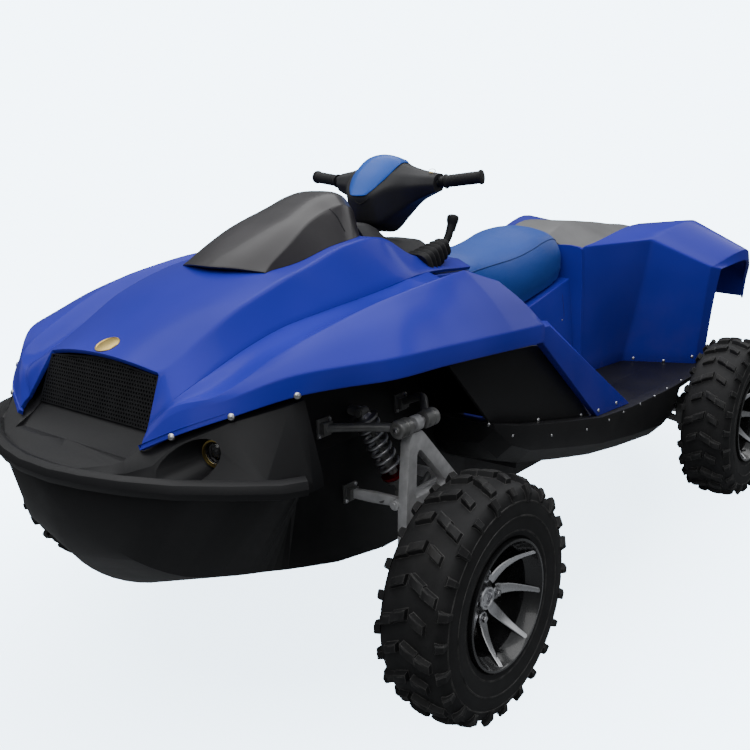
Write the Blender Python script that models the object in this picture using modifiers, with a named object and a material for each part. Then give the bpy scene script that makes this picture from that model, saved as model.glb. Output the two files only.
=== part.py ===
"""Amphibious all-terrain vehicle: a planing hull on four wheels, with blue skin panels and a water jet.

Metres. +Z is up, -Y is forward and +X is the rider's left. The origin is on the ground below the middle
of the wheelbase.
"""

import math

import bmesh
import bpy
from mathutils import Matrix, Vector

# Driving dimensions
GAP = 0.0003
WHEELBASE = 1.843
TRACK = 1.564
TYRE_RADIUS = 0.3175
TYRE_WIDTH = 0.200
RIM_RADIUS = 0.1675
RIM_WIDTH = 0.190
SPOKES = 8
SKIN = 0.012
HULL_SIDE_X = 0.42
DECK_Z = 0.47
RAIL_Z = 0.675
FLOOR_TOP_Z = 0.4703
VALLEY_X = 0.300
UPRIGHT_X = 0.600
KINGPIN_X = 0.640
TRUNNION_Z = 0.739
JET_Z = 0.335
JET_BORE = 0.080
JET_OUTER = 0.096
TUNNEL_RADIUS = 0.0965
TRANSOM_Y = 1.480
BARS_Y = -0.300
BARS_Z = 1.300
COLUMN_LEAN = math.radians(25.0)

WHEEL_X = TRACK / 2
FRONT_Y = -WHEELBASE / 2
REAR_Y = WHEELBASE / 2
AXLE_Z = TYRE_RADIUS

for old in list(bpy.data.objects):
    bpy.data.objects.remove(old, do_unlink=True)

parts = bpy.data.collections.new("amphibious_vehicle")
cutters = bpy.data.collections.new("cutters")
bpy.context.scene.collection.children.link(parts)
bpy.context.scene.collection.children.link(cutters)

# Colour, roughness and metallic value of each finish
FINISHES = {
    "blue_paint": ((0.050, 0.075, 0.42, 1), 0.22, 0.1),
    "seat_blue": ((0.025, 0.115, 0.40, 1), 0.55, 0.0),
    "black_plastic": ((0.012, 0.013, 0.015, 1), 0.45, 0.0),
    "grey_gloss": ((0.055, 0.052, 0.055, 1), 0.25, 0.0),
    "cast_grey": ((0.20, 0.20, 0.21, 1), 0.45, 0.9),
    "bright_metal": ((0.62, 0.62, 0.64, 1), 0.25, 1.0),
    "rubber": ((0.014, 0.014, 0.014, 1), 0.85, 0.0),
    "lamp": ((0.25, 0.22, 0.20, 1), 0.10, 0.2),
    "red_lamp": ((0.35, 0.01, 0.01, 1), 0.15, 0.0),
}


def finish(name):
    """Returns the named finish as a Principled material."""
    found = bpy.data.materials.get(name)
    if found:
        return found
    colour, roughness, metallic = FINISHES[name]
    made = bpy.data.materials.new(name)
    made.use_nodes = True
    shader = made.node_tree.nodes["Principled BSDF"]
    shader.inputs["Base Color"].default_value = colour
    shader.inputs["Roughness"].default_value = roughness
    shader.inputs["Metallic"].default_value = metallic
    return made


def place(name, mesh, material, smooth=None):
    """Adds a mesh to the parts as an object with its own finish."""
    obj = bpy.data.objects.new(name, mesh)
    parts.objects.link(obj)
    mesh.materials.clear()
    mesh.materials.append(finish(material))
    if smooth is not None:
        mesh.shade_smooth()
        mesh.set_sharp_from_angle(angle=math.radians(smooth))
    return obj


def as_cutter(obj):
    """Turns an object into a hidden tool."""
    parts.objects.unlink(obj)
    cutters.objects.link(obj)
    obj.hide_render = True
    obj.display_type = "WIRE"
    return obj


def from_bmesh(name, bm, material, smooth=None):
    bmesh.ops.recalc_face_normals(bm, faces=bm.faces)
    mesh = bpy.data.meshes.new(name)
    bm.to_mesh(mesh)
    bm.free()
    return place(name, mesh, material, smooth)


def box(name, low, high, material, bevel=0.0):
    """A block between two corners."""
    bm = bmesh.new()
    bmesh.ops.create_cube(bm, size=1.0)
    size = [h - l for l, h in zip(low, high)]
    middle = [(l + h) / 2 for l, h in zip(low, high)]
    bmesh.ops.scale(bm, vec=size, verts=bm.verts)
    bmesh.ops.translate(bm, vec=middle, verts=bm.verts)
    obj = from_bmesh(name, bm, material)
    if bevel:
        rounding = obj.modifiers.new("Rounding", "BEVEL")
        rounding.width = bevel
        rounding.segments = 2
    return obj


def rod(name, start, end, radius, material, end_radius=None, sides=16):
    """A round bar, or a cone, between two points."""
    start = Vector(start)
    end = Vector(end)
    along = end - start
    bm = bmesh.new()
    bmesh.ops.create_cone(bm, cap_ends=True, segments=sides, radius1=radius,
                          radius2=radius if end_radius is None else end_radius, depth=along.length)
    turn = Vector((0, 0, 1)).rotation_difference(along).to_matrix().to_4x4()
    bmesh.ops.transform(bm, matrix=Matrix.Translation((start + end) / 2) @ turn, verts=bm.verts)
    return from_bmesh(name, bm, material, 40)


def stacked(name, start, along, stations, material, sides=16, smooth=40):
    """A round solid about a line: stations of (distance, radius) from one cap to the other."""
    start = Vector(start)
    along = Vector(along).normalized()
    turn = Vector((0, 0, 1)).rotation_difference(along).to_matrix()
    circle = [turn @ Vector((math.cos(math.tau * i / sides), math.sin(math.tau * i / sides), 0))
              for i in range(sides)]
    rings = [[start + along * distance + corner * radius for corner in circle] for distance, radius in stations]
    return loft(name, rings, material, smooth)


def bellows(length, folds, start_radius, end_radius, depth):
    """Stations of a row of folds or coils whose crests taper from one radius to another."""
    stations = []
    for i in range(folds):
        t = i / (folds - 1)
        crest = start_radius + (end_radius - start_radius) * t
        middle = length * (i + 0.5) / folds
        quarter = length / folds / 4
        stations += [(middle - 2 * quarter, crest - depth), (middle - quarter, crest), (middle + quarter, crest)]
    stations.append((length, end_radius - depth))
    return stations


def loft(name, rings, material, smooth=None):
    """A closed solid through rings that have the same number of corners."""
    bm = bmesh.new()
    rows = [[bm.verts.new(corner) for corner in ring] for ring in rings]
    for row, following in zip(rows, rows[1:]):
        for i in range(len(row)):
            j = (i + 1) % len(row)
            bm.faces.new((row[i], row[j], following[j], following[i]))
    bmesh.ops.triangulate(bm, faces=bm.faces, quad_method="FIXED")
    bm.faces.new(rows[0])
    bm.faces.new(rows[-1])
    return from_bmesh(name, bm, material, smooth)


def skin(name, rows, material, thickness=SKIN, offset=-1.0, smooth=25, even=True):
    """A panel of one thickness: an open grid of points, made solid. The rows run from inner to outer edge."""
    bm = bmesh.new()
    grid = [[bm.verts.new(corner) for corner in row] for row in rows]
    for row, following in zip(grid, grid[1:]):
        for i in range(len(row) - 1):
            bm.faces.new((row[i], row[i + 1], following[i + 1], following[i]))
    bmesh.ops.triangulate(bm, faces=bm.faces, quad_method="FIXED")
    mesh = bpy.data.meshes.new(name)
    bm.normal_update()
    bm.to_mesh(mesh)
    bm.free()
    obj = place(name, mesh, material, smooth)
    wall = obj.modifiers.new("Wall", "SOLIDIFY")
    wall.thickness = thickness
    wall.offset = offset
    wall.use_even_offset = even
    return obj


def smoothed(rows, steps):
    """Adds rows between the given ones, on smooth lines through their corners."""
    corners = [[Vector(corner) for corner in row] for row in rows]
    spans = [sum((b - a).length for a, b in zip(row, following)) / len(row)
             for row, following in zip(corners, corners[1:])]
    last = len(corners) - 1

    def slope(i, j):
        """Direction of corner j's line at row i, for each metre along the rows."""
        if i in (0, last):
            k = min(i, last - 1)
            return (corners[k + 1][j] - corners[k][j]) / spans[k]
        before = (corners[i][j] - corners[i - 1][j]) / spans[i - 1]
        after = (corners[i + 1][j] - corners[i][j]) / spans[i]
        return (before * spans[i] + after * spans[i - 1]) / (spans[i] + spans[i - 1])

    made = []
    for i, span in enumerate(spans):
        for step in range(steps):
            t = step / steps
            row = []
            for j, start in enumerate(corners[i]):
                end = corners[i + 1][j]
                row.append(start * (1 + 2 * t) * (1 - t) ** 2 + end * (3 - 2 * t) * t ** 2
                           + slope(i, j) * span * t * (1 - t) ** 2 - slope(i + 1, j) * span * (1 - t) * t ** 2)
            made.append(row)
    made.append(corners[-1])
    return made


def divided(rows, steps):
    """Adds straight divisions between the corners of each row."""
    made = []
    for row in rows:
        corners = [Vector(corner) for corner in row]
        line = [start.lerp(end, step / steps)
                for start, end in zip(corners, corners[1:]) for step in range(steps)]
        made.append(line + corners[-1:])
    return made


def turned(name, profile, centre, axis, material, steps=32, smooth=35):
    """A ring or disc: a closed profile of (radius, along) turned about an axis, X or Y."""
    bm = bmesh.new()
    corners = [bm.verts.new((radius, 0, along)) for radius, along in profile]
    for i, corner in enumerate(corners):
        bm.edges.new((corner, corners[(i + 1) % len(corners)]))
    mesh = bpy.data.meshes.new(name)
    bm.to_mesh(mesh)
    bm.free()
    obj = place(name, mesh, material)
    lathe = obj.modifiers.new("Lathe", "SCREW")
    lathe.steps = steps
    lathe.render_steps = steps
    lathe.use_merge_vertices = True
    lathe.merge_threshold = 0.00005
    lathe.use_smooth_shade = False
    obj.location = centre
    if axis == "X":
        obj.rotation_euler = (0, math.radians(90), 0)
    elif axis == "Y":
        obj.rotation_euler = (math.radians(-90), 0, 0)
    return settled(obj, smooth)


def settled(obj, smooth=None):
    """Applies an object's modifiers and its place, so that its mesh is in the vehicle's frame and faces out."""
    bpy.context.view_layer.update()
    graph = bpy.context.evaluated_depsgraph_get()
    mesh = bpy.data.meshes.new_from_object(obj.evaluated_get(graph))
    mesh.transform(obj.matrix_world)
    bm = bmesh.new()
    bm.from_mesh(mesh)
    bmesh.ops.remove_doubles(bm, verts=bm.verts, dist=0.00002)
    bmesh.ops.recalc_face_normals(bm, faces=bm.faces)
    bm.to_mesh(mesh)
    bm.free()
    obj.modifiers.clear()
    if obj.type != "MESH":
        name = obj.name
        material = obj.data.materials[0].name
        bpy.data.objects.remove(obj, do_unlink=True)
        return place(name, mesh, material, smooth)
    obj.data = mesh
    obj.matrix_world = Matrix.Identity(4)
    if smooth is not None:
        mesh.shade_smooth()
        mesh.set_sharp_from_angle(angle=math.radians(smooth))
    return obj


def tube(name, route, radius, material, resolution=2):
    """A bent tube with filled ends through a list of points."""
    curve = bpy.data.curves.new(name, "CURVE")
    curve.dimensions = "3D"
    curve.bevel_depth = radius
    curve.bevel_resolution = resolution
    curve.use_fill_caps = True
    line = curve.splines.new("POLY")
    line.points.add(len(route) - 1)
    for point, corner in zip(line.points, route):
        point.co = (*corner, 1)
    curve.materials.append(finish(material))
    obj = bpy.data.objects.new(name, curve)
    parts.objects.link(obj)
    return settled(obj, 50)


def plate(name, outline, x_low, x_high, material):
    """A flat plate across X: an outline of (y, z) between two places."""
    rings = [[(x, y, z) for y, z in outline] for x in (x_low, x_high)]
    return loft(name, rings, material)


def cut(obj, *tools):
    for tool in tools:
        if tool.name in parts.objects:
            as_cutter(tool)
        step = obj.modifiers.new("Cut", "BOOLEAN")
        step.operation = "DIFFERENCE"
        step.object = tool
    return obj


def joined(obj, *others, smooth=None):
    """Fuses overlapping solids into the first one."""
    for other in others:
        step = obj.modifiers.new("Join", "BOOLEAN")
        step.operation = "UNION"
        step.object = other
    settled(obj, smooth)
    for other in others:
        bpy.data.objects.remove(other, do_unlink=True)
    return obj


def mirrored(obj, name, smooth=None):
    """The right-hand twin of a left-hand piece, mirrored across the keel plane."""
    settled(obj, smooth)
    mesh = obj.data.copy()
    mesh.transform(Matrix.Scale(-1, 4, (1, 0, 0)))
    mesh.flip_normals()
    return place(name, mesh, obj.data.materials[0].name, smooth)


def pair(build, name, *values, smooth=None):
    """Builds a left-hand piece and its mirrored twin."""
    left = build(f"{name}_left", *values)
    mirrored(left, f"{name}_right", smooth)


def both_sides(half):
    """A full ring from its left half, listed from the keel outwards and up to the centre line."""
    return half + [(-x, y, z) for x, y, z in reversed(half) if x > 0]


# Hull sections: y, keel z, chine x, chine z, edge x, edge z
HULL = (
    (-1.608, 0.635, 0.010, 0.640, 0.040, RAIL_Z),
    (-1.580, 0.510, 0.110, 0.560, 0.190, RAIL_Z),
    (-1.535, 0.425, 0.230, 0.495, 0.330, RAIL_Z),
    (-1.450, 0.345, 0.300, 0.440, 0.455, RAIL_Z),
    (-1.340, 0.285, 0.360, 0.415, 0.545, RAIL_Z),
    (-1.265, 0.262, 0.380, 0.400, 0.540, RAIL_Z),
    (-1.200, 0.245, 0.395, 0.385, 0.440, RAIL_Z),
    (-1.040, 0.220, HULL_SIDE_X, 0.350, HULL_SIDE_X, RAIL_Z),
    (-0.850, 0.205, HULL_SIDE_X, 0.320, HULL_SIDE_X, RAIL_Z),
    (-0.4410, 0.205, HULL_SIDE_X, 0.315, HULL_SIDE_X, RAIL_Z),
    (-0.4405, 0.205, HULL_SIDE_X, 0.315, HULL_SIDE_X, DECK_Z),
    (TRANSOM_Y, 0.220, HULL_SIDE_X, 0.300, HULL_SIDE_X, DECK_Z),
)

# Stations of the bow, which are joined by smooth lines, and the rows made between two of them
BOW_STATIONS = 8
BOW_STEPS = 3

# Engine block between its two corners, in a bay that is open to the seat base above
ENGINE_LOW = (-0.190, 0.060, 0.262)
ENGINE_HIGH = (0.190, 0.560, 0.660)
BAY_MARGIN = 0.030


def hull():
    rings = []
    for y, keel_z, chine_x, chine_z, edge_x, edge_z in HULL:
        half = [(0, y, keel_z), (chine_x, y, chine_z), (edge_x, y, edge_z), (0, y, edge_z)]
        rings.append(both_sides(half))
    rings = smoothed(rings[:BOW_STATIONS], BOW_STEPS) + rings[BOW_STATIONS:]
    body = loft("hull", rings, "black_plastic", 20)
    bay = box("engine_bay", (ENGINE_LOW[0] - BAY_MARGIN, ENGINE_LOW[1] - BAY_MARGIN, ENGINE_LOW[2] - GAP),
              (ENGINE_HIGH[0] + BAY_MARGIN, ENGINE_HIGH[1] + BAY_MARGIN, DECK_Z + 0.1), "black_plastic")
    tunnel = rod("jet_tunnel", (0, 1.05, JET_Z), (0, TRANSOM_Y + 0.1, JET_Z), TUNNEL_RADIUS,
                 "black_plastic", sides=28)
    intake = box("jet_intake", (-0.075, 0.80, 0.10), (0.075, 1.10, JET_Z), "black_plastic")
    cut(body, bay, tunnel, intake)
    settled(body, 20)


# Side hull sections: y, outer x, bottom z, lip top z, floor z
SIDE_HULL = (
    (-0.600, 0.630, 0.590, 0.655, 0.650),
    (-0.540, 0.650, 0.530, 0.640, 0.635),
    (-0.4410, 0.655, 0.487, 0.614, 0.608),
    (-0.4405, 0.655, 0.487, 0.614, DECK_Z),
    (-0.200, 0.660, 0.430, 0.565, DECK_Z),
    (0.020, 0.660, 0.381, 0.522, DECK_Z),
    (0.250, 0.660, 0.345, 0.500, DECK_Z),
    (0.540, 0.660, 0.310, 0.489, DECK_Z),
    (0.640, 0.658, 0.330, 0.486, DECK_Z),
    (0.720, 0.655, 0.420, 0.484, DECK_Z),
    (1.150, 0.645, 0.430, 0.482, DECK_Z),
    (TRANSOM_Y, 0.620, 0.440, 0.480, DECK_Z),
)
LIP_WIDTH = 0.045


def side_hull(name):
    inner = HULL_SIDE_X + GAP
    rings = []
    for y, outer, bottom, lip, floor in SIDE_HULL:
        rings.append([(inner, y, bottom - 0.02), (outer - 0.05, y, bottom), (outer, y, bottom + 0.05),
                      (outer, y, lip), (outer - LIP_WIDTH, y, lip), (outer - LIP_WIDTH - 0.004, y, floor),
                      (inner, y, floor)])
    return loft(name, rings, "black_plastic", 20)


# Plan of the bumper roll: y and half-width, from the bow centre round to the front of the wheel arch
ROLL_PLAN = (
    (-1.6135, 0.060), (-1.596, 0.160), (-1.566, 0.265), (-1.515, 0.385), (-1.446, 0.490), (-1.380, 0.575),
    (-1.330, 0.602),
)
ROLL_RADIUS = 0.024

# Nose moulding: y of the section; bottom half-width; shoulder x and z, where the side meets the blue band;
# top half-width and z, under the blue skin; z on the centre line
NOSE_END_Y = -1.262
NOSE = (
    (-1.6135, 0.055, 0.050, 0.705, 0.040, 0.712, 0.712),
    (-1.590, 0.175, 0.160, 0.712, 0.130, 0.720, 0.720),
    (-1.555, 0.300, 0.262, 0.725, 0.205, 0.733, 0.733),
    (-1.523, 0.370, 0.318, 0.745, 0.250, 0.752, 0.740),
    (-1.480, 0.440, 0.345, 0.785, 0.255, 0.775, 0.785),
    (-1.400, 0.540, 0.440, 0.832, 0.285, 0.842, 0.925),
    (-1.300, 0.595, 0.538, 0.866, 0.300, 0.895, 0.970),
    (NOSE_END_Y, 0.592, 0.545, 0.872, 0.300, 0.910, 0.985),
)
# Mouth: half-width, then (y, z) of the floor's front edge, the grille's foot and the head of its back wall
MOUTH_X = 0.232
MOUTH_LIP = (-1.520, 0.7415)
MOUTH_FOOT = (-1.452, 0.792)
MOUTH_HEAD = (-1.402, 0.925)
LAMP_FACE = (0.412, -1.417, 0.7635)
LAMP_RADIUS = 0.030
LAMP_DEPTH = 0.040


def nose_moulding():
    rings = []
    for y, bottom_x, shoulder_x, shoulder_z, top_x, top_z, centre_z in NOSE:
        half = [(0, y, RAIL_Z + GAP), (bottom_x, y, RAIL_Z + GAP), (bottom_x, y, RAIL_Z + 0.022),
                (shoulder_x, y, shoulder_z), (top_x, y, top_z), (0, y, centre_z)]
        rings.append(both_sides(half))
    body = loft("nose_moulding", rings, "black_plastic", 20)
    outline = ((-1.62, MOUTH_LIP[1]), MOUTH_LIP, MOUTH_FOOT, MOUTH_HEAD, (MOUTH_HEAD[0], 1.05), (-1.62, 1.05))
    mouth = plate("mouth_tool", outline, -MOUTH_X, MOUTH_X, "black_plastic")
    cut(body, mouth, *fender_tools())
    x, y, z = LAMP_FACE
    for side in (1, -1):
        recess = rod("lamp_recess", (side * (x - 0.028), y - 0.125, z - 0.010), (side * x, y, z), 0.062,
                     "black_plastic", 0.036, sides=24)
        seat_hole = rod("lamp_seat", (side * x, y - 0.01, z), (side * x, y + LAMP_DEPTH + GAP, z),
                        LAMP_RADIUS + GAP,
                        "black_plastic", sides=24)
        cut(body, recess, seat_hole)
    settled(body, 20)
    route = [(-x, y, 0.700) for y, x in reversed(ROLL_PLAN)] + [(x, y, 0.700) for y, x in ROLL_PLAN]
    roll = tube("bumper_roll", route, ROLL_RADIUS, "black_plastic")
    return joined(body, roll, smooth=30)


# Grille outline: half-width and height along its slope, from the foot up to the middle of its head
GRILLE = ((0.228, 0.004), (0.212, 0.105), (0.0, 0.130))
GRILLE_THICKNESS = 0.010
# Slots: how far up the slope each row is, number across, pitch, and width, height and depth of one slot's tool
SLOT_ROWS = (0.026, 0.055, 0.084)
SLOT_COLUMNS = 13
SLOT_PITCH = 0.0315
SLOT_SIZE = (0.024, 0.020, 0.030)


def grille():
    """Slotted panel that leans back on the mouth's rear wall."""
    rise = Vector((0, MOUTH_HEAD[0] - MOUTH_FOOT[0], MOUTH_HEAD[1] - MOUTH_FOOT[1])).normalized()
    across = Vector((1, 0, 0))
    slope = Matrix((across, rise, across.cross(rise))).transposed().to_4x4()
    slope.translation = (0, *MOUTH_FOOT)
    outline = GRILLE + tuple((-x, t) for x, t in reversed(GRILLE) if x)
    faces = [[slope @ Vector((x, t, depth)) for x, t in outline] for depth in (GAP, GRILLE_THICKNESS)]
    panel = loft("grille", faces, "black_plastic")
    bm = bmesh.new()
    for t in SLOT_ROWS:
        for i in range(SLOT_COLUMNS):
            x = (i - (SLOT_COLUMNS - 1) / 2) * SLOT_PITCH
            middle = Matrix.Translation((x, t, GRILLE_THICKNESS / 2))
            bmesh.ops.create_cube(bm, size=1.0, matrix=slope @ middle @ Matrix.Diagonal((*SLOT_SIZE, 1)))
    slots = from_bmesh("grille_slots", bm, "black_plastic")
    cut(panel, slots)
    return settled(panel)


# Seam between bonnet and fender, from the nose to the rear: x, y, z
VALLEY = (
    (0.252, -1.478, 0.812), (VALLEY_X, -1.451, 0.866), (VALLEY_X, -1.330, 0.910), (VALLEY_X, -1.200, 0.952),
    (VALLEY_X, -1.080, 0.980), (VALLEY_X, -0.950, 0.994), (VALLEY_X, -0.850, 1.003), (VALLEY_X, -0.700, 1.016),
    (VALLEY_X, -0.560, 1.034), (0.262, -0.400, 1.033), (0.240, -0.130, 1.016),
)
# Bonnet at each point of the seam: y and z on the centre line, then x, y, z of the crease
BONNET = (
    (-1.425, 0.945, 0.227, -1.415, 0.922),
    (-1.400, 0.955, 0.230, -1.395, 0.930),
    (-1.300, 0.999, 0.238, -1.300, 0.978),
    (-1.190, 1.046, 0.247, -1.190, 1.034),
    (-1.090, 1.082, 0.250, -1.090, 1.068),
    (-1.020, 1.100, 0.245, -1.000, 1.093),
    (-0.900, 1.118, 0.232, -0.900, 1.112),
    (-0.740, 1.150, 0.219, -0.740, 1.148),
    (-0.560, 1.154, 0.210, -0.560, 1.152),
    (-0.400, 1.085, 0.200, -0.400, 1.083),
    (-0.130, 1.050, 0.190, -0.130, 1.040),
)
# Rows between two stations of the blue panels, and divisions of the fender's faces
PANEL_STEPS = 3
FLANK_STEPS = 2

# Storage bin under the lid: x, then y and z from the front bottom corner to the rear top corner
BIN_X = 0.140
BIN_Y = (-0.960, -0.640)
BIN_BOTTOM_Z = 0.780


def bonnet_rows(drop, steps):
    """Rows of the bonnet's skin, lowered to find the body beneath it."""
    rows = []
    for (y0, z0, crease_x, crease_y, crease_z), (valley_x, valley_y, valley_z) in zip(BONNET, VALLEY):
        half = [(0, y0, z0 - drop), (crease_x * 0.6, y0, z0 - 0.3 * (z0 - crease_z) - drop),
                (crease_x, crease_y, crease_z - drop), (valley_x - GAP, valley_y, valley_z - drop)]
        rows.append([(-x, y, z) for x, y, z in reversed(half[1:])] + half)
    return smoothed(rows, steps)


FOOT_TOOL_Z = 0.700


def seated_on_bonnet(obj):
    """Trims a piece's foot to the bonnet's outer face."""
    rings = [row + [(row[-1][0], row[-1][1], FOOT_TOOL_Z), (row[0][0], row[0][1], FOOT_TOOL_Z)]
             for row in bonnet_rows(-GAP, PANEL_STEPS)]
    tool = loft("bonnet_face", rings, "blue_paint")
    cut(obj, tool)
    return settled(obj, 25)


def bin_tool(name, top_z):
    return box(name, (-BIN_X, BIN_Y[0], BIN_BOTTOM_Z), (BIN_X, BIN_Y[1], top_z), "black_plastic")


def bonnet():
    shell = skin("bonnet", bonnet_rows(0.0, PANEL_STEPS), "blue_paint")
    cut(shell, bin_tool("bin_mouth", 1.2), *fender_tools())
    settled(shell, 25)


# Front fender at each point of the seam but the last: its ridge, upper crease, lower edge and inner flange
FENDER = (
    ((0.256, -1.489, 0.799), (0.259, -1.500, 0.786), (0.263, -1.513, 0.768), (0.252, -1.505, 0.762)),
    ((0.312, -1.455, 0.860), (0.325, -1.462, 0.850), (0.345, -1.478, 0.806), (0.330, -1.470, 0.803)),
    ((0.405, -1.400, 0.885), (0.417, -1.403, 0.878), (0.450, -1.397, 0.848), (0.430, -1.388, 0.844)),
    ((0.450, -1.237, 0.949), (0.530, -1.300, 0.930), (0.552, -1.289, 0.886), (0.525, -1.275, 0.882)),
    ((0.490, -1.090, 0.992), (0.603, -1.190, 0.942), (0.608, -1.185, 0.892), (0.575, -1.170, 0.890)),
    ((0.510, -0.980, 1.020), (0.650, -1.110, 0.946), (0.656, -1.112, 0.895), (0.615, -1.100, 0.893)),
    ((0.525, -0.840, 1.043), (0.668, -0.900, 0.938), (0.673, -0.905, 0.889), (0.625, -0.900, 0.887)),
    ((0.536, -0.700, 1.068), (0.668, -0.740, 0.928), (0.672, -0.750, 0.879), (0.625, -0.750, 0.877)),
    ((0.540, -0.610, 1.084), (0.666, -0.560, 0.916), (0.670, -0.570, 0.866), (0.625, -0.570, 0.864)),
    ((0.565, -0.485, 1.040), (0.655, -0.372, 0.902), (0.662, -0.385, 0.852), (0.625, -0.390, 0.850)),
)
# The leg from the fender's rear corner down to the footwell: its corners at the top and on the lip
LEG_TOP = ((0.655, -0.400, 0.870), (0.652, -0.372, 0.905), (0.622, -0.350, 0.945), (0.625, -0.400, 0.880))
LEG_ROOT = ((0.655, -0.380, 0.850), (0.652, -0.330, 0.900), (0.620, -0.320, 0.935), (0.625, -0.380, 0.850))
LEG_FOOT = ((0.642, 0.020, 0.5223), (0.630, 0.300, 0.4984), (0.619, 0.300, 0.4984), (0.619, 0.020, 0.5223))


def fender_rows(seam_gap):
    """Rows of the fender's skin, whose inner edge runs along the bonnet's."""
    seam = smoothed([[(x + seam_gap, y, z)] for x, y, z in VALLEY], PANEL_STEPS)
    rows = smoothed(FENDER, PANEL_STEPS)
    return divided([start + row for start, row in zip(seam, rows)], FLANK_STEPS)


def fender_tools():
    """Both front fenders with the gap round them, to trim what they meet."""
    thickness = SKIN + 4 * GAP
    left = skin("fender_face", fender_rows(-GAP), "blue_paint", thickness, 2 * GAP / thickness - 1, even=False)
    right = mirrored(left, "fender_face_right")
    return left, right


def front_fender(name):
    shell = skin(name, fender_rows(GAP), "blue_paint", even=False)
    settled(shell, 25)
    leg = loft("fender_leg", (LEG_TOP, LEG_ROOT, LEG_FOOT), "blue_paint")
    return joined(shell, leg, smooth=25)


INNER_BODY_END_Y = -0.441


def inner_body():
    """Black body between the wheel arches that carries the bonnet and holds the storage bin."""
    drop = SKIN * 1.35
    rings = []
    for row in bonnet_rows(drop, 1)[2:-1]:
        y = max(NOSE_END_Y + GAP, min(row[3][1], INNER_BODY_END_Y))
        half = [(0, y, row[3][2]), (row[4][0], y, row[4][2]), (row[5][0] - 0.006, y, row[5][2] - 0.004),
                (row[6][0] - 0.012, y, row[6][2] - 0.006), (HULL_SIDE_X - 0.03, y, row[6][2] - 0.040),
                (HULL_SIDE_X, y, 0.800), (HULL_SIDE_X, y, RAIL_Z + GAP), (0, y, RAIL_Z + GAP)]
        rings.append(both_sides(half))
    body = loft("inner_body", rings, "black_plastic", 20)
    cut(body, bin_tool("bin", 1.2))
    return settled(body, 20)


# Side panel behind the front wheel: outline of (y, z)
SIDE_PANEL = (
    (-0.600, 0.6555), (-0.440, 0.615), (-0.200, 0.5655), (0.010, 0.5245), (0.000, 0.5345), (-0.290, 0.822),
    (-0.385, 0.836), (-0.640, 0.855), (-0.800, 0.862),
)
PANEL_X = (0.606, 0.618)


def side_panel(name):
    sheet = plate(name, SIDE_PANEL, PANEL_X[0], PANEL_X[1], "black_plastic")
    wall = box("arch_rear_wall", (HULL_SIDE_X + GAP, -0.4550, 0.6180), (PANEL_X[0] + 0.004, -0.4410, 0.93),
               "black_plastic")
    return joined(sheet, wall)


# Seat base sections: y, half-width at the floor, half-width at the top, top z
SEAT_BASE = (
    (-0.440, 0.268, 0.246, 0.992),
    (-0.131, 0.255, 0.226, 0.982),
    (-0.100, 0.252, 0.215, 0.930),
    (-0.060, 0.250, 0.205, 0.904),
    (0.050, 0.248, 0.205, 0.785),
    (0.300, 0.245, 0.205, 0.800),
    (0.640, 0.240, 0.205, 0.873),
)


def seat_base():
    """Blue pedestal: a hollow box over the engine, open below."""
    outer = loft("seat_base", [
        [(-foot_x, y, FLOOR_TOP_Z), (foot_x, y, FLOOR_TOP_Z), (top_x, y, top_z), (-top_x, y, top_z)]
        for y, foot_x, top_x, top_z in SEAT_BASE], "blue_paint")
    hollow = box("seat_base_hollow", (-0.225, -0.050, 0.40), (0.225, 0.600, 0.70), "blue_paint")
    cut(outer, hollow)
    return settled(outer, 25)


# Seat sections: y, half-width, top z, bottom z, which lies just over the seat base
SEAT = (
    (-0.060, 0.110, 0.960, 0.9045),
    (0.050, 0.165, 1.030, 0.7855),
    (0.300, 0.195, 1.055, 0.8005),
    (0.520, 0.200, 1.098, 0.8478),
    (0.600, 0.190, 1.088, 0.8650),
    (0.640, 0.165, 1.040, 0.8735),
)


def seat():
    rings = []
    for y, half_width, top, bottom in SEAT:
        middle = (top + bottom) / 2
        half = [(0, y, bottom), (half_width * 0.9, y, bottom), (half_width, y, middle),
                (half_width * 0.80, y, top - 0.025), (half_width * 0.45, y, top), (0, y, top)]
        rings.append(both_sides(half))
    return loft("seat", rings, "seat_blue", 40)


# Rear cover sections: y, half-width at the floor, shoulder x, shoulder z, centre z
REAR_COVER = (
    (0.643, 0.2250, 0.190, 0.990, 1.040),
    (0.760, 0.2250, 0.205, 1.015, 1.078),
    (1.000, 0.2250, 0.215, 1.035, 1.074),
    (1.400, 0.2250, 0.220, 1.030, 1.050),
    (1.590, 0.2250, 0.220, 0.900, 0.920),
)


def rear_cover():
    rings = []
    for y, floor_x, shoulder_x, shoulder_z, centre_z in REAR_COVER:
        bottom = FLOOR_TOP_Z if y < TRANSOM_Y else 0.600
        half = [(0, y, bottom), (floor_x, y, bottom), (floor_x, y, shoulder_z - 0.05),
                (shoulder_x, y, shoulder_z), (shoulder_x * 0.5, y, centre_z), (0, y, centre_z)]
        rings.append(both_sides(half))
    return loft("rear_cover", rings, "grey_gloss", 20)


FENDER_FOOT_Z = FLOOR_TOP_Z + GAP
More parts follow.
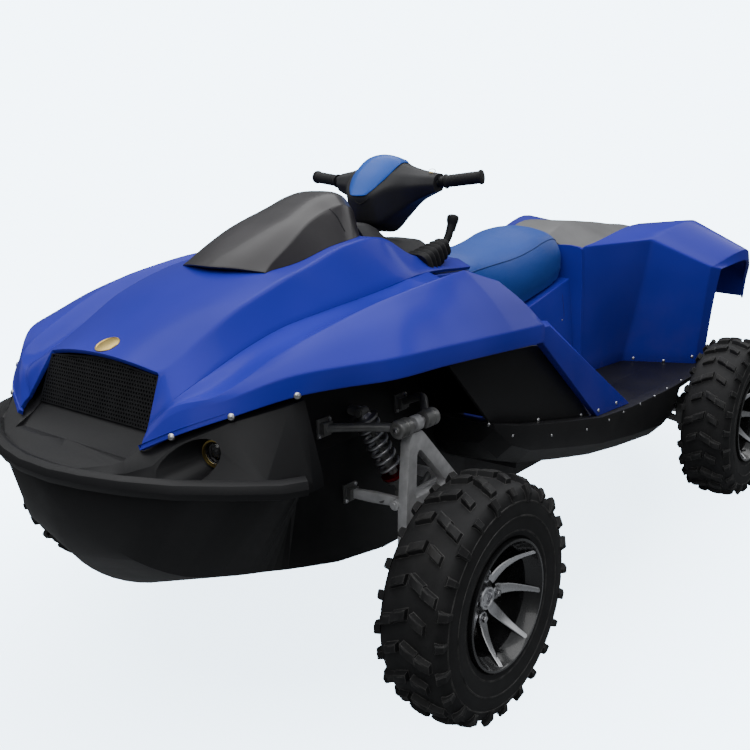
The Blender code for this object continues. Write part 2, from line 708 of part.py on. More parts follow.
# Rear fender rows of (x, y, z), each from the inner edge round to the return at the outer edge
REAR_FENDER = (
    ((0.250, 0.650, FENDER_FOOT_Z), (0.310, 0.950, FENDER_FOOT_Z), (0.568, 1.100, FENDER_FOOT_Z),
     (0.586, 1.150, FENDER_FOOT_Z)),
    ((0.250, 0.650, 0.900), (0.375, 1.005, 0.900), (0.596, 1.122, 0.820), (0.620, 1.172, 0.815)),
    ((0.250, 0.670, 1.000), (0.385, 1.020, 1.000), (0.602, 1.130, 0.885), (0.628, 1.180, 0.872)),
    ((0.2360, 1.400, 1.043), (0.420, 1.420, 1.040), (0.645, 1.465, 0.920), (0.650, 1.470, 0.870)),
    ((0.2360, 1.615, 0.930), (0.400, 1.617, 0.915), (0.590, 1.620, 0.810), (0.595, 1.620, 0.760)),
    ((0.2360, 1.627, 0.700), (0.400, 1.627, 0.700), (0.580, 1.627, 0.690), (0.585, 1.627, 0.680)),
)


def rear_fender(name):
    lines = divided(zip(*REAR_FENDER), FLANK_STEPS)
    return skin(name, divided(zip(*lines), FLANK_STEPS), "blue_paint", 0.014)


def lamp(name):
    """Round lamp with a raised ring round its lens."""
    x, y, z = LAMP_FACE
    return stacked(name, (x, y + LAMP_DEPTH, z), (0, -1, 0), (
        (0.0, LAMP_RADIUS), (LAMP_DEPTH + 0.004, LAMP_RADIUS), (LAMP_DEPTH + 0.007, LAMP_RADIUS - 0.002),
        (LAMP_DEPTH + 0.007, LAMP_RADIUS - 0.004), (LAMP_DEPTH + 0.002, LAMP_RADIUS - 0.006),
        (LAMP_DEPTH + 0.009, 0.012)), "lamp", 24)


def tail_lamp(name):
    return box(name, (0.42, 1.6270, 0.712), (0.56, 1.6375, 0.762), "red_lamp")


# Front suspension on the left side. The upper arm's routes run from the hull to the trunnion
HULL_ARM_X = HULL_SIDE_X + GAP
UPPER_ROUTES = (
    ((HULL_ARM_X + 0.012, -1.075, 0.735), (0.560, -0.998, TRUNNION_Z), (UPRIGHT_X, -0.980, TRUNNION_Z)),
    ((HULL_ARM_X + 0.012, -0.760, 0.725), (0.470, -0.770, 0.745), (0.530, -0.800, 0.765), (0.575, -0.850, 0.750),
     (UPRIGHT_X, -0.870, TRUNNION_Z)),
)
PAD_SIZE = (0.016, 0.050, 0.050)
TRUNNION_RADIUS = 0.014
BOSS_RADIUS = 0.024
# Ends of the trunnion's two bosses, with the upright's eye between them
BOSS_Y = ((-1.008, -0.952), (-0.898, -0.842))


def hull_pad(name, y, z):
    """Bracket that seats an arm on the hull's side."""
    length, width, height = PAD_SIZE
    return box(name, (HULL_ARM_X, y - width / 2, z - height / 2),
               (HULL_ARM_X + length, y + width / 2, z + height / 2), "cast_grey")


def upper_arm(name):
    """Fork of two tubes that ends in a trunnion pin along the vehicle."""
    pin = rod(name, (UPRIGHT_X, BOSS_Y[0][0] + 0.01, TRUNNION_Z), (UPRIGHT_X, BOSS_Y[1][1] - 0.01, TRUNNION_Z),
              TRUNNION_RADIUS, "cast_grey")
    bosses = [rod("trunnion_boss", (UPRIGHT_X, start, TRUNNION_Z), (UPRIGHT_X, end, TRUNNION_Z), BOSS_RADIUS,
                  "cast_grey", sides=20) for start, end in BOSS_Y]
    tubes = [tube(f"upper_tube_{i}", route, 0.012, "cast_grey") for i, route in enumerate(UPPER_ROUTES)]
    pads = [hull_pad("upper_pad", route[0][1], route[0][2]) for route in UPPER_ROUTES]
    return joined(pin, *bosses, *tubes, *pads, smooth=40)


PLATE_X = (0.582, 0.606)
ARM_PIN_RADIUS = 0.012
ARM_PIN_X = PLATE_X[0] - ARM_PIN_RADIUS - GAP
# Lower arm: y and z at the hull, then at the pin on the upright's feet
LOWER_ARM = ((-0.985, 0.531, -0.957, 0.5285), (-0.745, 0.531, -0.765, 0.5380))
SHOCK_TOP = (0.460, -0.955, 0.755)
SHOCK_FOOT = (0.520, -0.865, 0.5212)
SHOCK_EYE_RADIUS = 0.014
# Spring: its two ends as shares of the shock's length, coils, outer radius and depth of the wire
SPRING_SPAN = (0.26, 0.90)
SPRING_COILS = 6
SPRING_RADIUS = 0.033
SPRING_WIRE = 0.009


def lower_arm(name):
    """Lower arm with a pin along the upright's feet and a saddle under the shock."""
    pin = rod(name, (ARM_PIN_X, -0.985, 0.527), (ARM_PIN_X, -0.737, 0.539), ARM_PIN_RADIUS, "cast_grey")
    bars = [tube(f"lower_tube_{i}", ((HULL_ARM_X + 0.012, y, z), (ARM_PIN_X, pin_y, pin_z)), 0.014, "cast_grey")
            for i, (y, z, pin_y, pin_z) in enumerate(LOWER_ARM)]
    pads = [hull_pad("lower_pad", y, z) for y, z, _, _ in LOWER_ARM]
    x, y, z = SHOCK_FOOT
    low = z - SHOCK_EYE_RADIUS - 2 * GAP - 0.011
    route = ((x, -0.972, 0.530), (x, y - 0.035, low), (x, y + 0.035, low), (x, -0.757, 0.535))
    saddle = tube("shock_saddle", route, 0.011, "cast_grey")
    return joined(pin, *bars, *pads, saddle, smooth=40)


def shock(name, top, foot):
    """Coil-over: body, rod and a spring in rings, with an eye at the foot and a pin at the top."""
    top = Vector(top)
    foot = Vector(foot)
    along = top - foot
    pin = rod("shock_pin", (HULL_ARM_X, top.y, top.z), (top.x + 0.012, top.y, top.z), 0.014, "cast_grey")
    eye = rod("shock_eye", (foot.x, foot.y - 0.018, foot.z), (foot.x, foot.y + 0.018, foot.z), SHOCK_EYE_RADIUS,
              "cast_grey")
    body = rod(name, foot, foot + along * 0.45, 0.016, "cast_grey")
    stem = rod("shock_stem", foot + along * 0.40, top, 0.009, "cast_grey", sides=12)
    spring = stacked("shock_spring", foot + along * SPRING_SPAN[0], along,
                     bellows(along.length * (SPRING_SPAN[1] - SPRING_SPAN[0]), SPRING_COILS, SPRING_RADIUS,
                             SPRING_RADIUS, SPRING_WIRE), "cast_grey", 12)
    return joined(body, stem, spring, pin, eye, smooth=40)


# Upright outline of (y, z), with its window, then y and z of the two kingpin lugs
UPRIGHT = (
    (-0.955, 0.700), (-0.895, 0.700), (-0.755, 0.538), (-0.765, 0.470), (-0.885, 0.330), (-0.885, 0.205),
    (-0.958, 0.205), (-0.985, 0.420), (-0.978, 0.540),
)
UPRIGHT_WINDOW = ((-0.925, 0.665), (-0.812, 0.545), (-0.938, 0.545))
LUG_HALF_Y = 0.028
LUG_Z = ((0.205, 0.230), (0.405, 0.425))
KNUCKLE_RADIUS = 0.018
SPINDLE_RADIUS = 0.030
SPINDLE_END_X = 0.7005


def upright(name):
    """A-shaped upright that hangs from the trunnion and holds the knuckle between two lugs."""
    frame = plate(name, UPRIGHT, PLATE_X[0], PLATE_X[1], "cast_grey")
    window = plate("upright_window", UPRIGHT_WINDOW, PLATE_X[0] - 0.05, PLATE_X[1] + 0.05, "cast_grey")
    cut(frame, window)
    settled(frame)
    lugs = [box("kingpin_lug", (PLATE_X[0] + 0.010, FRONT_Y - LUG_HALF_Y, low),
                (KINGPIN_X + 0.020, FRONT_Y + LUG_HALF_Y, high), "cast_grey") for low, high in LUG_Z]
    eye = rod("trunnion_eye", (UPRIGHT_X, BOSS_Y[0][1] + GAP, TRUNNION_Z),
              (UPRIGHT_X, BOSS_Y[1][0] - GAP, TRUNNION_Z), BOSS_RADIUS - 0.002, "cast_grey", sides=20)
    neck = box("trunnion_neck", (PLATE_X[0], -0.948, 0.690), (PLATE_X[1] + 0.006, -0.902, TRUNNION_Z),
               "cast_grey")
    joined(frame, *lugs, eye, neck, smooth=40)
    bore = rod("trunnion_bore", (UPRIGHT_X, -1.0, TRUNNION_Z), (UPRIGHT_X, -0.85, TRUNNION_Z),
               TRUNNION_RADIUS + 2 * GAP, "cast_grey", sides=20)
    cut(frame, bore)
    return settled(frame, 40)


def knuckle(name):
    """Steering knuckle between the upright's lugs, with the spindle that the wheel turns on."""
    post = rod(name, (KINGPIN_X, FRONT_Y, LUG_Z[0][1] + GAP), (KINGPIN_X, FRONT_Y, LUG_Z[1][0] - GAP),
               KNUCKLE_RADIUS, "cast_grey")
    spindle = rod("spindle", (KINGPIN_X, FRONT_Y, AXLE_Z), (SPINDLE_END_X, FRONT_Y, AXLE_Z), SPINDLE_RADIUS,
                  "cast_grey", sides=20)
    return joined(post, spindle, smooth=40)


REAR_PAD_Z = 0.355
# y of each tube at the hull, and its offset from the axle at the hub carrier
REAR_PADS = ((0.772, -0.03), (1.140, 0.03))


def rear_arm(name):
    """Rear arm with its hub carrier, whose bore clears the turning half shaft."""
    carrier = rod(name, (0.590, REAR_Y, AXLE_Z), (0.650, REAR_Y, AXLE_Z), 0.070, "cast_grey", sides=24)
    bars = [tube(f"rear_tube_{i}", ((HULL_ARM_X + 0.012, y, REAR_PAD_Z), (0.610, REAR_Y + lean, 0.275)), 0.015,
                 "cast_grey") for i, (y, lean) in enumerate(REAR_PADS)]
    pads = [hull_pad("rear_pad", y, REAR_PAD_Z) for y, _ in REAR_PADS]
    joined(carrier, *bars, *pads, smooth=40)
    bore = rod("rear_bore", (0.50, REAR_Y, AXLE_Z), (0.70, REAR_Y, AXLE_Z), 0.0235, "cast_grey", sides=20)
    cut(carrier, bore)
    return settled(carrier, 40)


def half_shaft(name):
    """Rear drive shaft that turns with its wheel."""
    return rod(name, (HULL_ARM_X, REAR_Y, AXLE_Z), (SPINDLE_END_X, REAR_Y, AXLE_Z), 0.018, "cast_grey", sides=20)


# Lugs on each half of a tyre, and the steps of the turned rings that meet them
LUGS = 16
WHEEL_STEPS = 2 * LUGS
# Rim: the well's radius, the disc's two faces and the spokes' roots and tips, measured from the wheel's middle
WELL_RADIUS = 0.140
BEAD_SEAT = 0.026
DISC_FACES = (0.020, 0.030)
HUB_RADIUS = 0.050
SPOKE_ROOT = (0.036, 0.014, 0.024, 0.050)
SPOKE_TIP = (0.150, 0.011, 0.024, 0.060)
SPOKE_SWEEP = math.radians(10)


def rim(name, x, y):
    """Rim barrel, centre disc and swept spokes. The outer face looks away from the vehicle."""
    half = RIM_WIDTH / 2
    lip = RIM_RADIUS
    well = WELL_RADIUS
    barrel = turned(name, (
        (lip, half), (lip - 0.008, half), (well, half - 0.030), (well, -half + 0.030), (lip - 0.010, -half),
        (lip, -half), (lip, -half + BEAD_SEAT), (well + 0.010, -half + 0.045), (well + 0.010, half - 0.045),
        (lip, half - BEAD_SEAT)), (x, y, AXLE_Z), "X", "bright_metal", WHEEL_STEPS)
    hub = rod("hub", (x - half + 0.014, y, AXLE_Z), (x + 0.054, y, AXLE_Z), HUB_RADIUS, "bright_metal", sides=16)
    disc = rod("disc", (x + DISC_FACES[0], y, AXLE_Z), (x + DISC_FACES[1], y, AXLE_Z), well + 0.004,
               "bright_metal", sides=WHEEL_STEPS)
    spokes = []
    for i in range(SPOKES):
        rings = []
        for (radius, width, low, high), sweep in ((SPOKE_ROOT, 0.0), (SPOKE_TIP, SPOKE_SWEEP)):
            offset = radius * math.tan(sweep)
            rings.append([(x + low, offset - width, radius), (x + low, offset + width, radius),
                          (x + high, offset + width, radius), (x + high, offset - width, radius)])
        spoke = loft("spoke", rings, "bright_metal")
        turn = Matrix.Rotation(math.tau * i / SPOKES, 4, "X")
        spoke.data.transform(Matrix.Translation((0, y, AXLE_Z)) @ turn)
        spokes.append(spoke)
    return joined(barrel, disc, hub, *spokes, smooth=30)


# Tyre: where a lug begins and ends and then a groove, as shares of the pitch; how far the lugs' outer ends lag
# behind their inner ends, and how far the pattern is turned to stand on a lug, in pitches
LUG_COLUMNS = (0.00, 0.44, 0.52, 0.92)
LUG_LAG = 0.30
LUG_PHASE = -0.52
# Plain rings of one half from the bead outwards: distance out and radius
TYRE_RINGS = ((0.060, RIM_RADIUS + GAP), (0.080, RIM_RADIUS + GAP), (TYRE_WIDTH / 2, 0.245))
# Rows of the tread on one half: distance out, radius of the groove and of the lug, and lag
TREAD_ROWS = ((0.094, 0.281, 0.281, LUG_LAG), (0.086, 0.287, 0.3035, LUG_LAG), (0.010, 0.299, TYRE_RADIUS, 0.0))


def tyre_row(bm, centre, out, radii, angles):
    """Corners round the tyre, each angle measured from its lowest place."""
    return [bm.verts.new(centre + Vector((out, radius * math.sin(angle), -radius * math.cos(angle))))
            for radius, angle in zip(radii, angles)]


def tyre_tread(bm, side, centre):
    """Rows of one half's tread, from the shoulder in: a lug on the first or the last two columns of a pitch."""
    rows = []
    for out, groove, top, lag in TREAD_ROWS:
        columns = [(pitch, i) for pitch in range(LUGS) for i in range(len(LUG_COLUMNS))]
        angles = [math.tau * (pitch + LUG_COLUMNS[i] + lag + LUG_PHASE) / LUGS for pitch, i in columns]
        radii = [top if (i < 2) == (side > 0) else groove for _, i in columns]
        rows.append(tyre_row(bm, centre, side * out, radii, angles))
    return rows


def strip(bm, low, high):
    """Faces between two rows of corners that close round."""
    for i in range(len(low)):
        j = (i + 1) % len(low)
        bm.faces.new((low[i], low[j], high[j], high[i]))


def tyre(name, x, y):
    """Tyre with steep lugs, staggered between its two halves."""
    centre = Vector((x, y, AXLE_Z))
    bm = bmesh.new()
    angles = [math.tau * i / WHEEL_STEPS for i in range(WHEEL_STEPS)]
    halves = []
    for side in (1, -1):
        rings = [tyre_row(bm, centre, side * out, [radius] * WHEEL_STEPS, angles) for out, radius in TYRE_RINGS]
        tread = tyre_tread(bm, side, centre)
        for rows in (rings, tread):
            for low, high in zip(rows, rows[1:]):
                strip(bm, low, high)
        for i, corner in enumerate(rings[-1]):
            foot = tread[0][2 * i:2 * i + 2] + [tread[0][(2 * i + 2) % len(tread[0])]]
            bm.faces.new((corner, foot[0], foot[1]))
            bm.faces.new((corner, foot[1], foot[2], rings[-1][(i + 1) % WHEEL_STEPS]))
        halves.append((rings, tread))
    strip(bm, halves[0][0][0], halves[1][0][0])
    strip(bm, halves[0][1][-1], halves[1][1][-1])
    bmesh.ops.triangulate(bm, faces=bm.faces, quad_method="FIXED")
    return from_bmesh(name, bm, "rubber", 30)


BAR_ROUTE = ((-0.353, -0.230, 1.314), (-0.220, -0.255, 1.300), (-0.090, -0.300, 1.270), (0.090, -0.300, 1.270),
             (0.220, -0.255, 1.300), (0.353, -0.230, 1.314))
BAR_RADIUS = 0.0115
GRIP_RADIUS = 0.017
STEM_RADIUS = 0.022
STEM_TOP = (0, BARS_Y, 1.270)
STEM_LENGTH = 0.135
STEM_FOOT = (0, BARS_Y - STEM_LENGTH * math.sin(COLUMN_LEAN), 1.270 - STEM_LENGTH * math.cos(COLUMN_LEAN))


def handlebar():
    """Bar with grips on a short stem."""
    bar = tube("handlebar", BAR_ROUTE, BAR_RADIUS, "black_plastic")
    grips = [tube("grip", (BAR_ROUTE[i], Vector(BAR_ROUTE[i]).lerp(Vector(BAR_ROUTE[j]), 0.9)), GRIP_RADIUS,
                  "rubber") for i, j in ((0, 1), (5, 4))]
    stem = rod("stem", STEM_TOP, STEM_FOOT, STEM_RADIUS, "black_plastic")
    return joined(bar, *grips, stem, smooth=40)


# Shroud over the middle of the bars: x, then (y, z) round the section from the foot's front edge up over the top
POD = (
    (0.000, (-0.385, 1.180), (-0.410, 1.262), (-0.352, 1.338), (-0.300, 1.382), (-0.205, 1.370), (-0.175, 1.320),
     (-0.285, 1.136)),
    (0.050, (-0.378, 1.180), (-0.392, 1.272), (-0.345, 1.334), (-0.295, 1.374), (-0.210, 1.361), (-0.180, 1.310),
     (-0.280, 1.140)),
    (0.080, (-0.340, 1.205), (-0.367, 1.286), (-0.330, 1.328), (-0.282, 1.360), (-0.222, 1.350), (-0.190, 1.300),
     (-0.255, 1.190)),
    (0.130, (-0.290, 1.245), (-0.318, 1.290), (-0.303, 1.322), (-0.268, 1.341), (-0.222, 1.335), (-0.203, 1.300),
     (-0.232, 1.242)),
    (0.205, (-0.280, 1.270), (-0.290, 1.292), (-0.283, 1.316), (-0.260, 1.327), (-0.235, 1.324), (-0.222, 1.303),
     (-0.238, 1.272)),
)
CAP_POINTS = (1, 2, 3, 4)
CAP_STATIONS = 3
CAP_CENTRE = Vector((-0.280, 1.280))
CAP_SCALE = 1.006


def pod():
    """Faceted shroud that tapers to a wing round each bar."""
    sections = [(-x, *points) for x, *points in reversed(POD[1:])] + list(POD)
    body = loft("bar_pod", [[(x, y, z) for y, z in points] for x, *points in sections], "grey_gloss")
    channel = tube("bar_channel", BAR_ROUTE, BAR_RADIUS + 2 * GAP, "black_plastic")
    along = (Vector(STEM_TOP) - Vector(STEM_FOOT)).normalized()
    well = rod("stem_well", Vector(STEM_TOP) + along * 0.001, STEM_FOOT, STEM_RADIUS + 2 * GAP, "black_plastic")
    cut(body, channel, well)
    return settled(body, 25)


def pod_cap():
    """Blue cap on the shroud's top facets."""
    rows = []
    for x, *points in POD[:CAP_STATIONS]:
        row = [CAP_CENTRE + (Vector(points[i]) - CAP_CENTRE) * CAP_SCALE for i in CAP_POINTS]
        rows.append([(x, p.x, p.y) for p in row])
    rows = [[(-x, y, z) for x, y, z in row] for row in reversed(rows[1:])] + rows
    return skin("pod_cap", rows, "seat_blue", 0.004)


BOOT_FOOT = (0.195, -0.345, 1.020)
BOOT_TOP = (0.195, -0.290, 1.130)
BOOT_FOLDS = 5
# Radius of the first and the last crest and the depth between crests, then the flange's (distance, radius)
BOOT_FOLD_SIZES = (0.052, 0.030, 0.008)
BOOT_FLANGE = ((-0.010, 0.050), (0.046, 0.050))


def gear_lever():
    """Lever that stands in a folded boot."""
    along = Vector(BOOT_TOP) - Vector(BOOT_FOOT)
    folds = bellows(along.length, BOOT_FOLDS, *BOOT_FOLD_SIZES)
    boot = stacked("gear_lever", BOOT_FOOT, along, [*BOOT_FLANGE, *folds[6:]], "rubber", 16)
    stick = rod("lever_stick", (0.195, -0.300, 1.12), (0.195, -0.215, 1.170), 0.012, "rubber", sides=12)
    knob = rod("lever_knob", (0.195, -0.240, 1.156), (0.195, -0.190, 1.182), 0.022, "rubber")
    joined(boot, stick, knob, smooth=40)
    return seated_on_bonnet(boot)


# Storage lid stations: y, half-width, side z below the bonnet's face, shoulder x and z, top z
LID = (
    (-1.045, 0.155, 1.070, 0.135, 1.098, 1.112),
    (-1.010, 0.168, 1.072, 0.150, 1.118, 1.145),
    (-0.978, 0.175, 1.080, 0.155, 1.134, 1.168),
    (-0.920, 0.188, 1.090, 0.150, 1.162, 1.187),
    (-0.855, 0.198, 1.102, 0.140, 1.194, 1.208),
    (-0.790, 0.203, 1.116, 0.125, 1.220, 1.230),
    (-0.720, 0.203, 1.130, 0.105, 1.246, 1.254),
    (-0.640, 0.200, 1.140, 0.100, 1.265, 1.273),
    (-0.565, 0.196, 1.140, 0.095, 1.278, 1.286),
)


LID_HINGE = (0, -1.045, 1.090)


def storage_lid():
    rows = []
    for y, half_width, side_z, shoulder_x, shoulder_z, top_z in LID:
        half = [(0, y, top_z), (shoulder_x, y, shoulder_z), (half_width, y, side_z)]
        rows.append([(-x, y, z) for x, y, z in reversed(half[1:])] + half)
    shell = skin("storage_lid", rows, "grey_gloss", 0.008)
    return seated_on_bonnet(shell)


# Steering console stations: y, half-width, z below the bonnet's face, shoulder x, top z
CONSOLE = (
    (-0.559, 0.195, 1.120, 0.094, 1.282),
    (-0.500, 0.188, 1.100, 0.090, 1.276),
    (-0.470, 0.182, 1.095, 0.085, 1.240),
    (-0.444, 0.176, 1.090, 0.080, 1.190),
    (-0.425, 0.170, 1.080, 0.078, 1.135),
    (-0.200, 0.130, 1.035, 0.080, 1.085),
    (-0.150, 0.120, 1.025, 0.075, 1.065),
)
COLLAR_RADIUS = 0.030


def steering_console():
    """Fixed cover behind the lid, with the collar that carries the bars' stem."""
    rings = []
    for y, half_width, base_z, top_x, top_z in CONSOLE:
        half = [(0, y, base_z), (half_width, y, base_z), (top_x, y, top_z), (0, y, top_z + 0.004)]
        rings.append(both_sides(half))
    body = loft("steering_console", rings, "grey_gloss", 20)
    down = (Vector(STEM_FOOT) - Vector(STEM_TOP)).normalized()
    collar = rod("stem_collar", Vector(STEM_FOOT) + down * GAP, Vector(STEM_FOOT) + down * 0.050, COLLAR_RADIUS,
                 "grey_gloss")
    joined(body, collar, smooth=20)
    return seated_on_bonnet(body)


PUMP_Y = (1.220, 1.520)
NOZZLE_Y = 1.535
IMPELLER_Y = 1.287
NOZZLE_BOSS = 0.0762
BUCKET_Y = 1.505
BUCKET_RADIUS = 0.1462
BUCKET_WALL = 0.006
BUCKET_HALF = 0.1013
BUCKET_SPAN = (math.radians(25), math.radians(85))
ARC_STEPS = 8


def jet_pump():
    """Pump housing with an ear above and below the nozzle."""
    middle = sum(PUMP_Y) / 2
    half = (PUMP_Y[1] - PUMP_Y[0]) / 2
    body = turned("jet_pump", ((JET_OUTER, -half), (JET_OUTER, half), (JET_BORE, half), (JET_BORE, -half)),
                  (0, middle, JET_Z), "Y", "cast_grey", 28)
    ears = []
    for side in (1, -1):
        inner = JET_Z + side * (NOZZLE_BOSS + GAP)
        outer = JET_Z + side * (NOZZLE_BOSS + 0.012)
        ears.append(box("ear", (-0.016, PUMP_Y[1] - 0.014, min(inner, outer)),
                        (0.016, NOZZLE_Y + 0.016, max(inner, outer)), "cast_grey"))
    return joined(body, *ears, smooth=35)


def impeller():
    shaft = rod("impeller", (0, 1.05 + GAP, JET_Z), (0, 1.340, JET_Z), 0.012, "bright_metal", sides=12)
    hub = rod("impeller_hub", (0, 1.240, JET_Z), (0, 1.335, JET_Z), 0.028, "bright_metal")
    blades = []
    for i in range(4):
        blade = box("blade", (-0.004, -0.035, 0.020), (0.004, 0.035, 0.073), "bright_metal")
        blade.data.transform(Matrix.Translation((0, IMPELLER_Y, JET_Z))
                             @ Matrix.Rotation(math.tau * i / 4, 4, "Y")
                             @ Matrix.Rotation(math.radians(35), 4, "Z"))
        blades.append(blade)
    return joined(shaft, hub, *blades, smooth=40)


def jet_nozzle():
    """Steering nozzle: a tapered tube with a pin boss above and below."""
    body = turned("jet_nozzle", ((0.074, -0.008), (0.052, 0.080), (0.043, 0.080), (0.064, -0.008)),
                  (0, NOZZLE_Y, JET_Z), "Y", "cast_grey", 28)
    bosses = [rod("boss", (0, NOZZLE_Y, JET_Z + side * 0.064), (0, NOZZLE_Y, JET_Z + side * NOZZLE_BOSS), 0.007,
                  "cast_grey", sides=12) for side in (1, -1)]
    return joined(body, *bosses, smooth=35)


def reverse_bucket():
    """Raised reverse bucket: a curved gate between two side plates that turn on the pump's sides."""
    low, high = BUCKET_SPAN
    angles = [low + (high - low) * i / ARC_STEPS for i in range(ARC_STEPS + 1)]

    def arc(radius, order):
        return [(BUCKET_Y + radius * math.cos(a), JET_Z + radius * math.sin(a)) for a in order]

    gate_outline = arc(BUCKET_RADIUS, angles) + arc(BUCKET_RADIUS - BUCKET_WALL, reversed(angles))
    gate = plate("reverse_bucket", gate_outline, -BUCKET_HALF - 0.003, BUCKET_HALF + 0.003, "cast_grey")
    pieces = []
    for side in (1, -1):
        inner = side * BUCKET_HALF
        outer = side * (BUCKET_HALF + BUCKET_WALL)
        cheek_outline = arc(BUCKET_RADIUS - 0.001, angles) + [(BUCKET_Y - 0.012, JET_Z + 0.012),
                                                              (BUCKET_Y - 0.008, JET_Z - 0.012),
                                                              (BUCKET_Y + 0.014, JET_Z - 0.012)]
        pieces.append(plate("cheek", cheek_outline, min(inner, outer), max(inner, outer), "cast_grey"))
        pieces.append(rod("pivot", (side * (JET_OUTER + 0.0005), BUCKET_Y, JET_Z),
                          (side * (BUCKET_HALF + 0.003), BUCKET_Y, JET_Z), 0.010, "cast_grey", sides=16))
    return joined(gate, *pieces)


# Where each moving piece turns: its names, whether it has a twin on the right, and the point on its axis
AXES = (
    (("front_rim", "front_tyre"), True, (WHEEL_X, FRONT_Y, AXLE_Z)),
    (("rear_rim", "rear_tyre", "rear_half_shaft"), True, (WHEEL_X, REAR_Y, AXLE_Z)),
    (("front_knuckle",), True, (KINGPIN_X, FRONT_Y, AXLE_Z)),
    (("handlebar", "bar_pod", "pod_cap"), False, STEM_TOP),
    (("storage_lid",), False, LID_HINGE),
    (("impeller",), False, (0, IMPELLER_Y, JET_Z)),
    (("jet_nozzle",), False, (0, NOZZLE_Y, JET_Z)),
    (("reverse_bucket",), False, (0, BUCKET_Y, JET_Z)),
)


def set_origins():
    """Puts each moving piece's origin on the axis that it turns about."""
    for names, has_twin, point in AXES:
        sides = (("_left", 1), ("_right", -1)) if has_twin else (("", 1),)
        for name in names:
            for suffix, side in sides:
                obj = settled(parts.objects[name + suffix])
                origin = Vector((side * point[0], point[1], point[2]))
                obj.data.transform(Matrix.Translation(-origin))
                obj.location = origin


def build():
    hull()
    pair(side_hull, "side_hull", smooth=20)
    nose_moulding()
    grille()
    bonnet()
    pair(front_fender, "front_fender", smooth=25)
    inner_body()
    pair(side_panel, "side_panel")
    seat_base()
    seat()
    rear_cover()
    pair(rear_fender, "rear_fender", smooth=25)
    pair(lamp, "headlamp", smooth=40)
    pair(tail_lamp, "tail_lamp")
    pair(upper_arm, "front_upper_arm", smooth=40)
    pair(lower_arm, "front_lower_arm", smooth=40)
    pair(shock, "front_shock", SHOCK_TOP, SHOCK_FOOT, smooth=40)
    pair(upright, "front_upright", smooth=40)
    pair(knuckle, "front_knuckle", smooth=40)
    pair(rear_arm, "rear_arm", smooth=40)
    pair(half_shaft, "rear_half_shaft", smooth=40)
    for end, y in (("front", FRONT_Y), ("rear", REAR_Y)):
        pair(rim, f"{end}_rim", WHEEL_X, y, smooth=30)
        pair(tyre, f"{end}_tyre", WHEEL_X, y, smooth=35)
    handlebar()
    pod()
    pod_cap()
    gear_lever()
    storage_lid()
    steering_console()
    jet_pump()
    impeller()
    jet_nozzle()
    reverse_bucket()
    box("engine", ENGINE_LOW, ENGINE_HIGH, "cast_grey")
    set_origins()


build()
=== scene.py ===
"""Dresses the amphibious all-terrain vehicle: paint, plastics, metal and rubber, and the forms that the solids
leave plain.

Metres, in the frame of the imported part: +X is the vehicle's left, -Y is forward, +Z is up.
"""

import math
from functools import partial

import bmesh
import bpy
from bpy.props import FloatProperty, FloatVectorProperty, IntProperty, PointerProperty
from mathutils import Matrix, Vector
from mathutils.bvhtree import BVHTree


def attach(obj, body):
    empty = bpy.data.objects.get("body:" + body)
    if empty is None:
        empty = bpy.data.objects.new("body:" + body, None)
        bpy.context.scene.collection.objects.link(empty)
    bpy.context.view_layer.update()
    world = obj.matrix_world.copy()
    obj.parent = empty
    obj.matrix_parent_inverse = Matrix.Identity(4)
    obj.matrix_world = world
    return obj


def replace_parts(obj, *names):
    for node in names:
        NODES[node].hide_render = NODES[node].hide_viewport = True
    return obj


bl_info = {
    "name": "Amphibious vehicle dresser",
    "version": (1, 0, 0),
    "blender": (4, 5, 0),
    "location": "View3D > Sidebar > Amphibian",
    "description": "Dresses the solids of an amphibious all-terrain vehicle",
    "category": "Object",
}

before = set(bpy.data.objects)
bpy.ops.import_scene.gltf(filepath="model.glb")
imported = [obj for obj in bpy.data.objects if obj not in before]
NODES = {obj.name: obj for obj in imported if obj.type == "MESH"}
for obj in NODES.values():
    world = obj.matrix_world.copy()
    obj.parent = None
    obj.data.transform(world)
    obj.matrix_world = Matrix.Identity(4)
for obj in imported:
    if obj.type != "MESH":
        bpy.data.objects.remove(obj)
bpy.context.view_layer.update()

# Wheels: place of the left hubs, and radius over the lugs
WHEEL_X = 0.782
FRONT_Y = -0.9215
REAR_Y = 0.9215
AXLE_Z = 0.3175
TYRE_RADIUS = 0.3175


# Materials

class Wire:
    """A value in a material, so that shader maths is written as plain expressions."""

    def __init__(self, recipe, socket):
        self.recipe = recipe
        self.socket = socket

    def sum_of(self, operation, first, second, clamp=False):
        made = self.recipe.node("ShaderNodeMath", {"operation": operation, "use_clamp": clamp},
                                {0: first, 1: second})
        return Wire(self.recipe, made.outputs[0])

    def __add__(self, other):
        return self.sum_of("ADD", self, other)

    __radd__ = __add__

    def __sub__(self, other):
        return self.sum_of("SUBTRACT", self, other)

    def __rsub__(self, other):
        return self.sum_of("SUBTRACT", other, self)

    def __mul__(self, other):
        return self.sum_of("MULTIPLY", self, other)

    __rmul__ = __mul__

    def __pow__(self, other):
        return self.sum_of("POWER", self, other)

    def above(self, low, high):
        """0 below low, 1 above high and a ramp between them."""
        return self.sum_of("MULTIPLY", self - low, 1.0 / (high - low), clamp=True)


